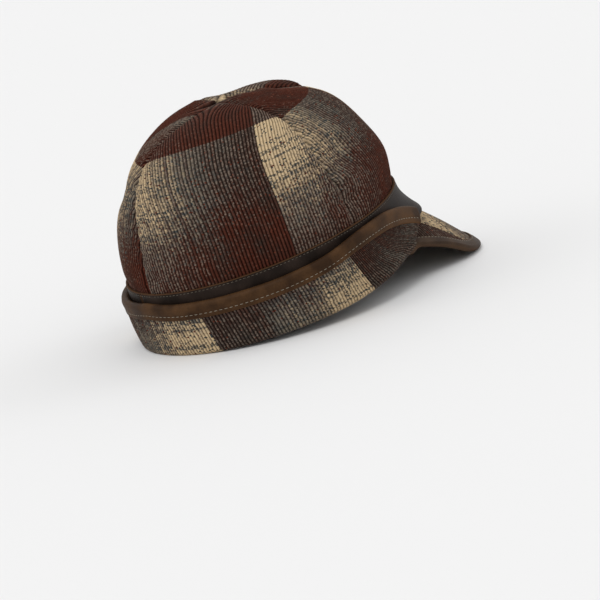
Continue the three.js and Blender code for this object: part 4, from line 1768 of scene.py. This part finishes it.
@dataclass
class Studio:
    """The pale floor, the soft lights and the camera at the photo's angle to the cap."""

    azimuth: float = 35.0
    elevation: float = 17.2
    roll: float = 19.2
    distance: float = 1.8
    lens: float = 153.19
    aim_right: float = 0.01431
    aim_down: float = 0.01114
    floor_half: float = 30.0
    floor_grey: float = 0.80
    world_strength: float = 0.84

    def axes(self) -> tuple[Array, Array, Array]:
        """The camera's directions in the cap's own frame, turned by its roll.

        Returns:
            The directions to the right, up and backward.
        """
        around, above, tilt = (math.radians(v) for v in (self.azimuth, self.elevation, self.roll))
        back = np.array([-math.cos(around) * math.cos(above), math.sin(around) * math.cos(above),
                         math.sin(above)])
        right = np.array([-math.sin(around), -math.cos(around), 0.0])
        up = np.cross(back, right)
        return (right * math.cos(tilt) - up * math.sin(tilt),
                right * math.sin(tilt) + up * math.cos(tilt), back)

    def camera(self, resting: Resting) -> None:
        """Sets up the camera, turned and moved with the cap.

        Args:
            resting: where the cap rests.
        """
        right, up, back = self.axes()
        middle = right * self.aim_right - up * self.aim_down
        spot = resting.turn((middle + back * self.distance) / MM) * MM
        spot = spot + np.array([0, resting.ahead, resting.up]) * MM
        turned = [resting.turn(axis) for axis in (right, up, back)]
        data = bpy.data.cameras.new("camera")
        data.lens, data.sensor_width = self.lens, 36.0
        data.clip_start, data.clip_end = 0.05, 200
        camera = bpy.data.objects.new("camera", data)
        camera.matrix_world = Matrix([[*(float(axis[row]) for axis in turned), float(spot[row])]
                                      for row in range(3)] + [[0, 0, 0, 1]])
        bpy.context.scene.collection.objects.link(camera)
        bpy.context.scene.camera = camera

    def light(self, name: str, spot: tuple, spread: float, strength: float) -> None:
        """Adds a far, soft light.

        Args:
            name: the light's name.
            spot: the direction that it shines from.
            spread: its breadth in the sky, in degrees.
            strength: its strength.
        """
        data = bpy.data.lights.new(name, "SUN")
        data.angle, data.energy = math.radians(spread), strength
        lamp = bpy.data.objects.new(name, data)
        lamp.rotation_euler = (-Vector(spot)).to_track_quat("-Z", "Y").to_euler()
        bpy.context.scene.collection.objects.link(lamp)

    def build(self, resting: Resting) -> None:
        """Builds the floor, the lights and the camera.

        Args:
            resting: where the cap rests.
        """
        mesh, half = bpy.data.meshes.new("studio_floor"), self.floor_half
        mesh.from_pydata([(-half, -half, 0), (half, -half, 0), (half, half, 0), (-half, half, 0)],
                         [], [(0, 1, 2, 3)])
        floor = bpy.data.objects.new("studio_floor", mesh)
        bpy.context.scene.collection.objects.link(floor)
        mesh.materials.append(Plain("pale_floor", (self.floor_grey,) * 3, 0.9).material())
        self.light("key", (-1.0, 1.2, 2.0), 24.0, 0.85)
        self.light("fill", (0.9, 1.9, 1.2), 38.0, 0.27)
        self.light("front", (-0.9, -2.2, 1.3), 30.0, 0.22)
        world = bpy.data.worlds.new("studio")
        world.use_nodes = True
        background = world.node_tree.nodes["Background"]
        background.inputs["Color"].default_value = (1.0, 1.0, 1.0, 1)
        background.inputs["Strength"].default_value = self.world_strength
        bpy.context.scene.world = world
        bpy.context.scene.view_settings.view_transform = "Standard"
        self.camera(resting)
        LOG.info("studio: floor, three lights and camera")


def main() -> None:
    """Builds every piece of the cap and the studio."""
    logging.basicConfig(level=logging.INFO, format="%(name)s: %(message)s")
    shape = CapShape()
    resting = Resting(shape)
    resting.settle()
    Studio().build(resting)
    plaid, hide = Dyes().group(), leather_group()
    band = Leather("band_hide", (.011, .0068, .0048), (.028, .018, .0135), (.075, .034, .013))
    brown = Leather("trim_hide", (.030, .0135, .005), (.080, .038, .0145), (.09, .040, .014))
    grey = Leather("binding_hide", (.028, .0155, .009), (.060, .0365, .023), (.10, .053, .026))
    pale = Plain("pale_thread", (.24, .205, .155), 0.9)
    dull = Plain("dull_thread", (.12, .100, .075), 0.9)
    gores = ((GoreSide.FRONT_RIGHT, 84.0, 95.0, REPEAT), (GoreSide.BACK_RIGHT, -32.0, 97.0, 121.0),
             (GoreSide.BACK_LEFT, -5.0, 92.0, REPEAT), (GoreSide.FRONT_LEFT, 30.0, 84.0, REPEAT))
    for index, (side, warp, weft, repeat) in enumerate(gores):
        cloth = Plaid(f"plaid_{side.name.lower()}", warp, weft, repeat=repeat, seed=float(index))
        Gore(shape, side, cloth).build(resting, plaid)
    CrownBand(shape, band, Stitching(dull, 2.9, 0.62, 0.16, 0.06)).build(resting, hide)
    EarBand(shape, Plaid("plaid_ear_band", 49.0, -15.0, weft_way=1.0, repeat=119.0,
                         warp_limit=205.0, redness=0.35, seed=5.0)).build(resting, plaid)
    Trim(shape, brown, Stitching(pale, 3.6, 0.66, 0.19, 0.10)).build(resting, hide)
    Peak(shape, Plaid("plaid_peak", -34.0, 55.0, warp_way=1.0, repeat=128.0, redness=0.50,
                      seed=6.0)).build(resting, plaid)
    Binding(shape, grey, Stitching(pale, 3.4, 0.6, 0.17, 0.1)).build(resting, hide)


if __name__ == "__main__":
    main()
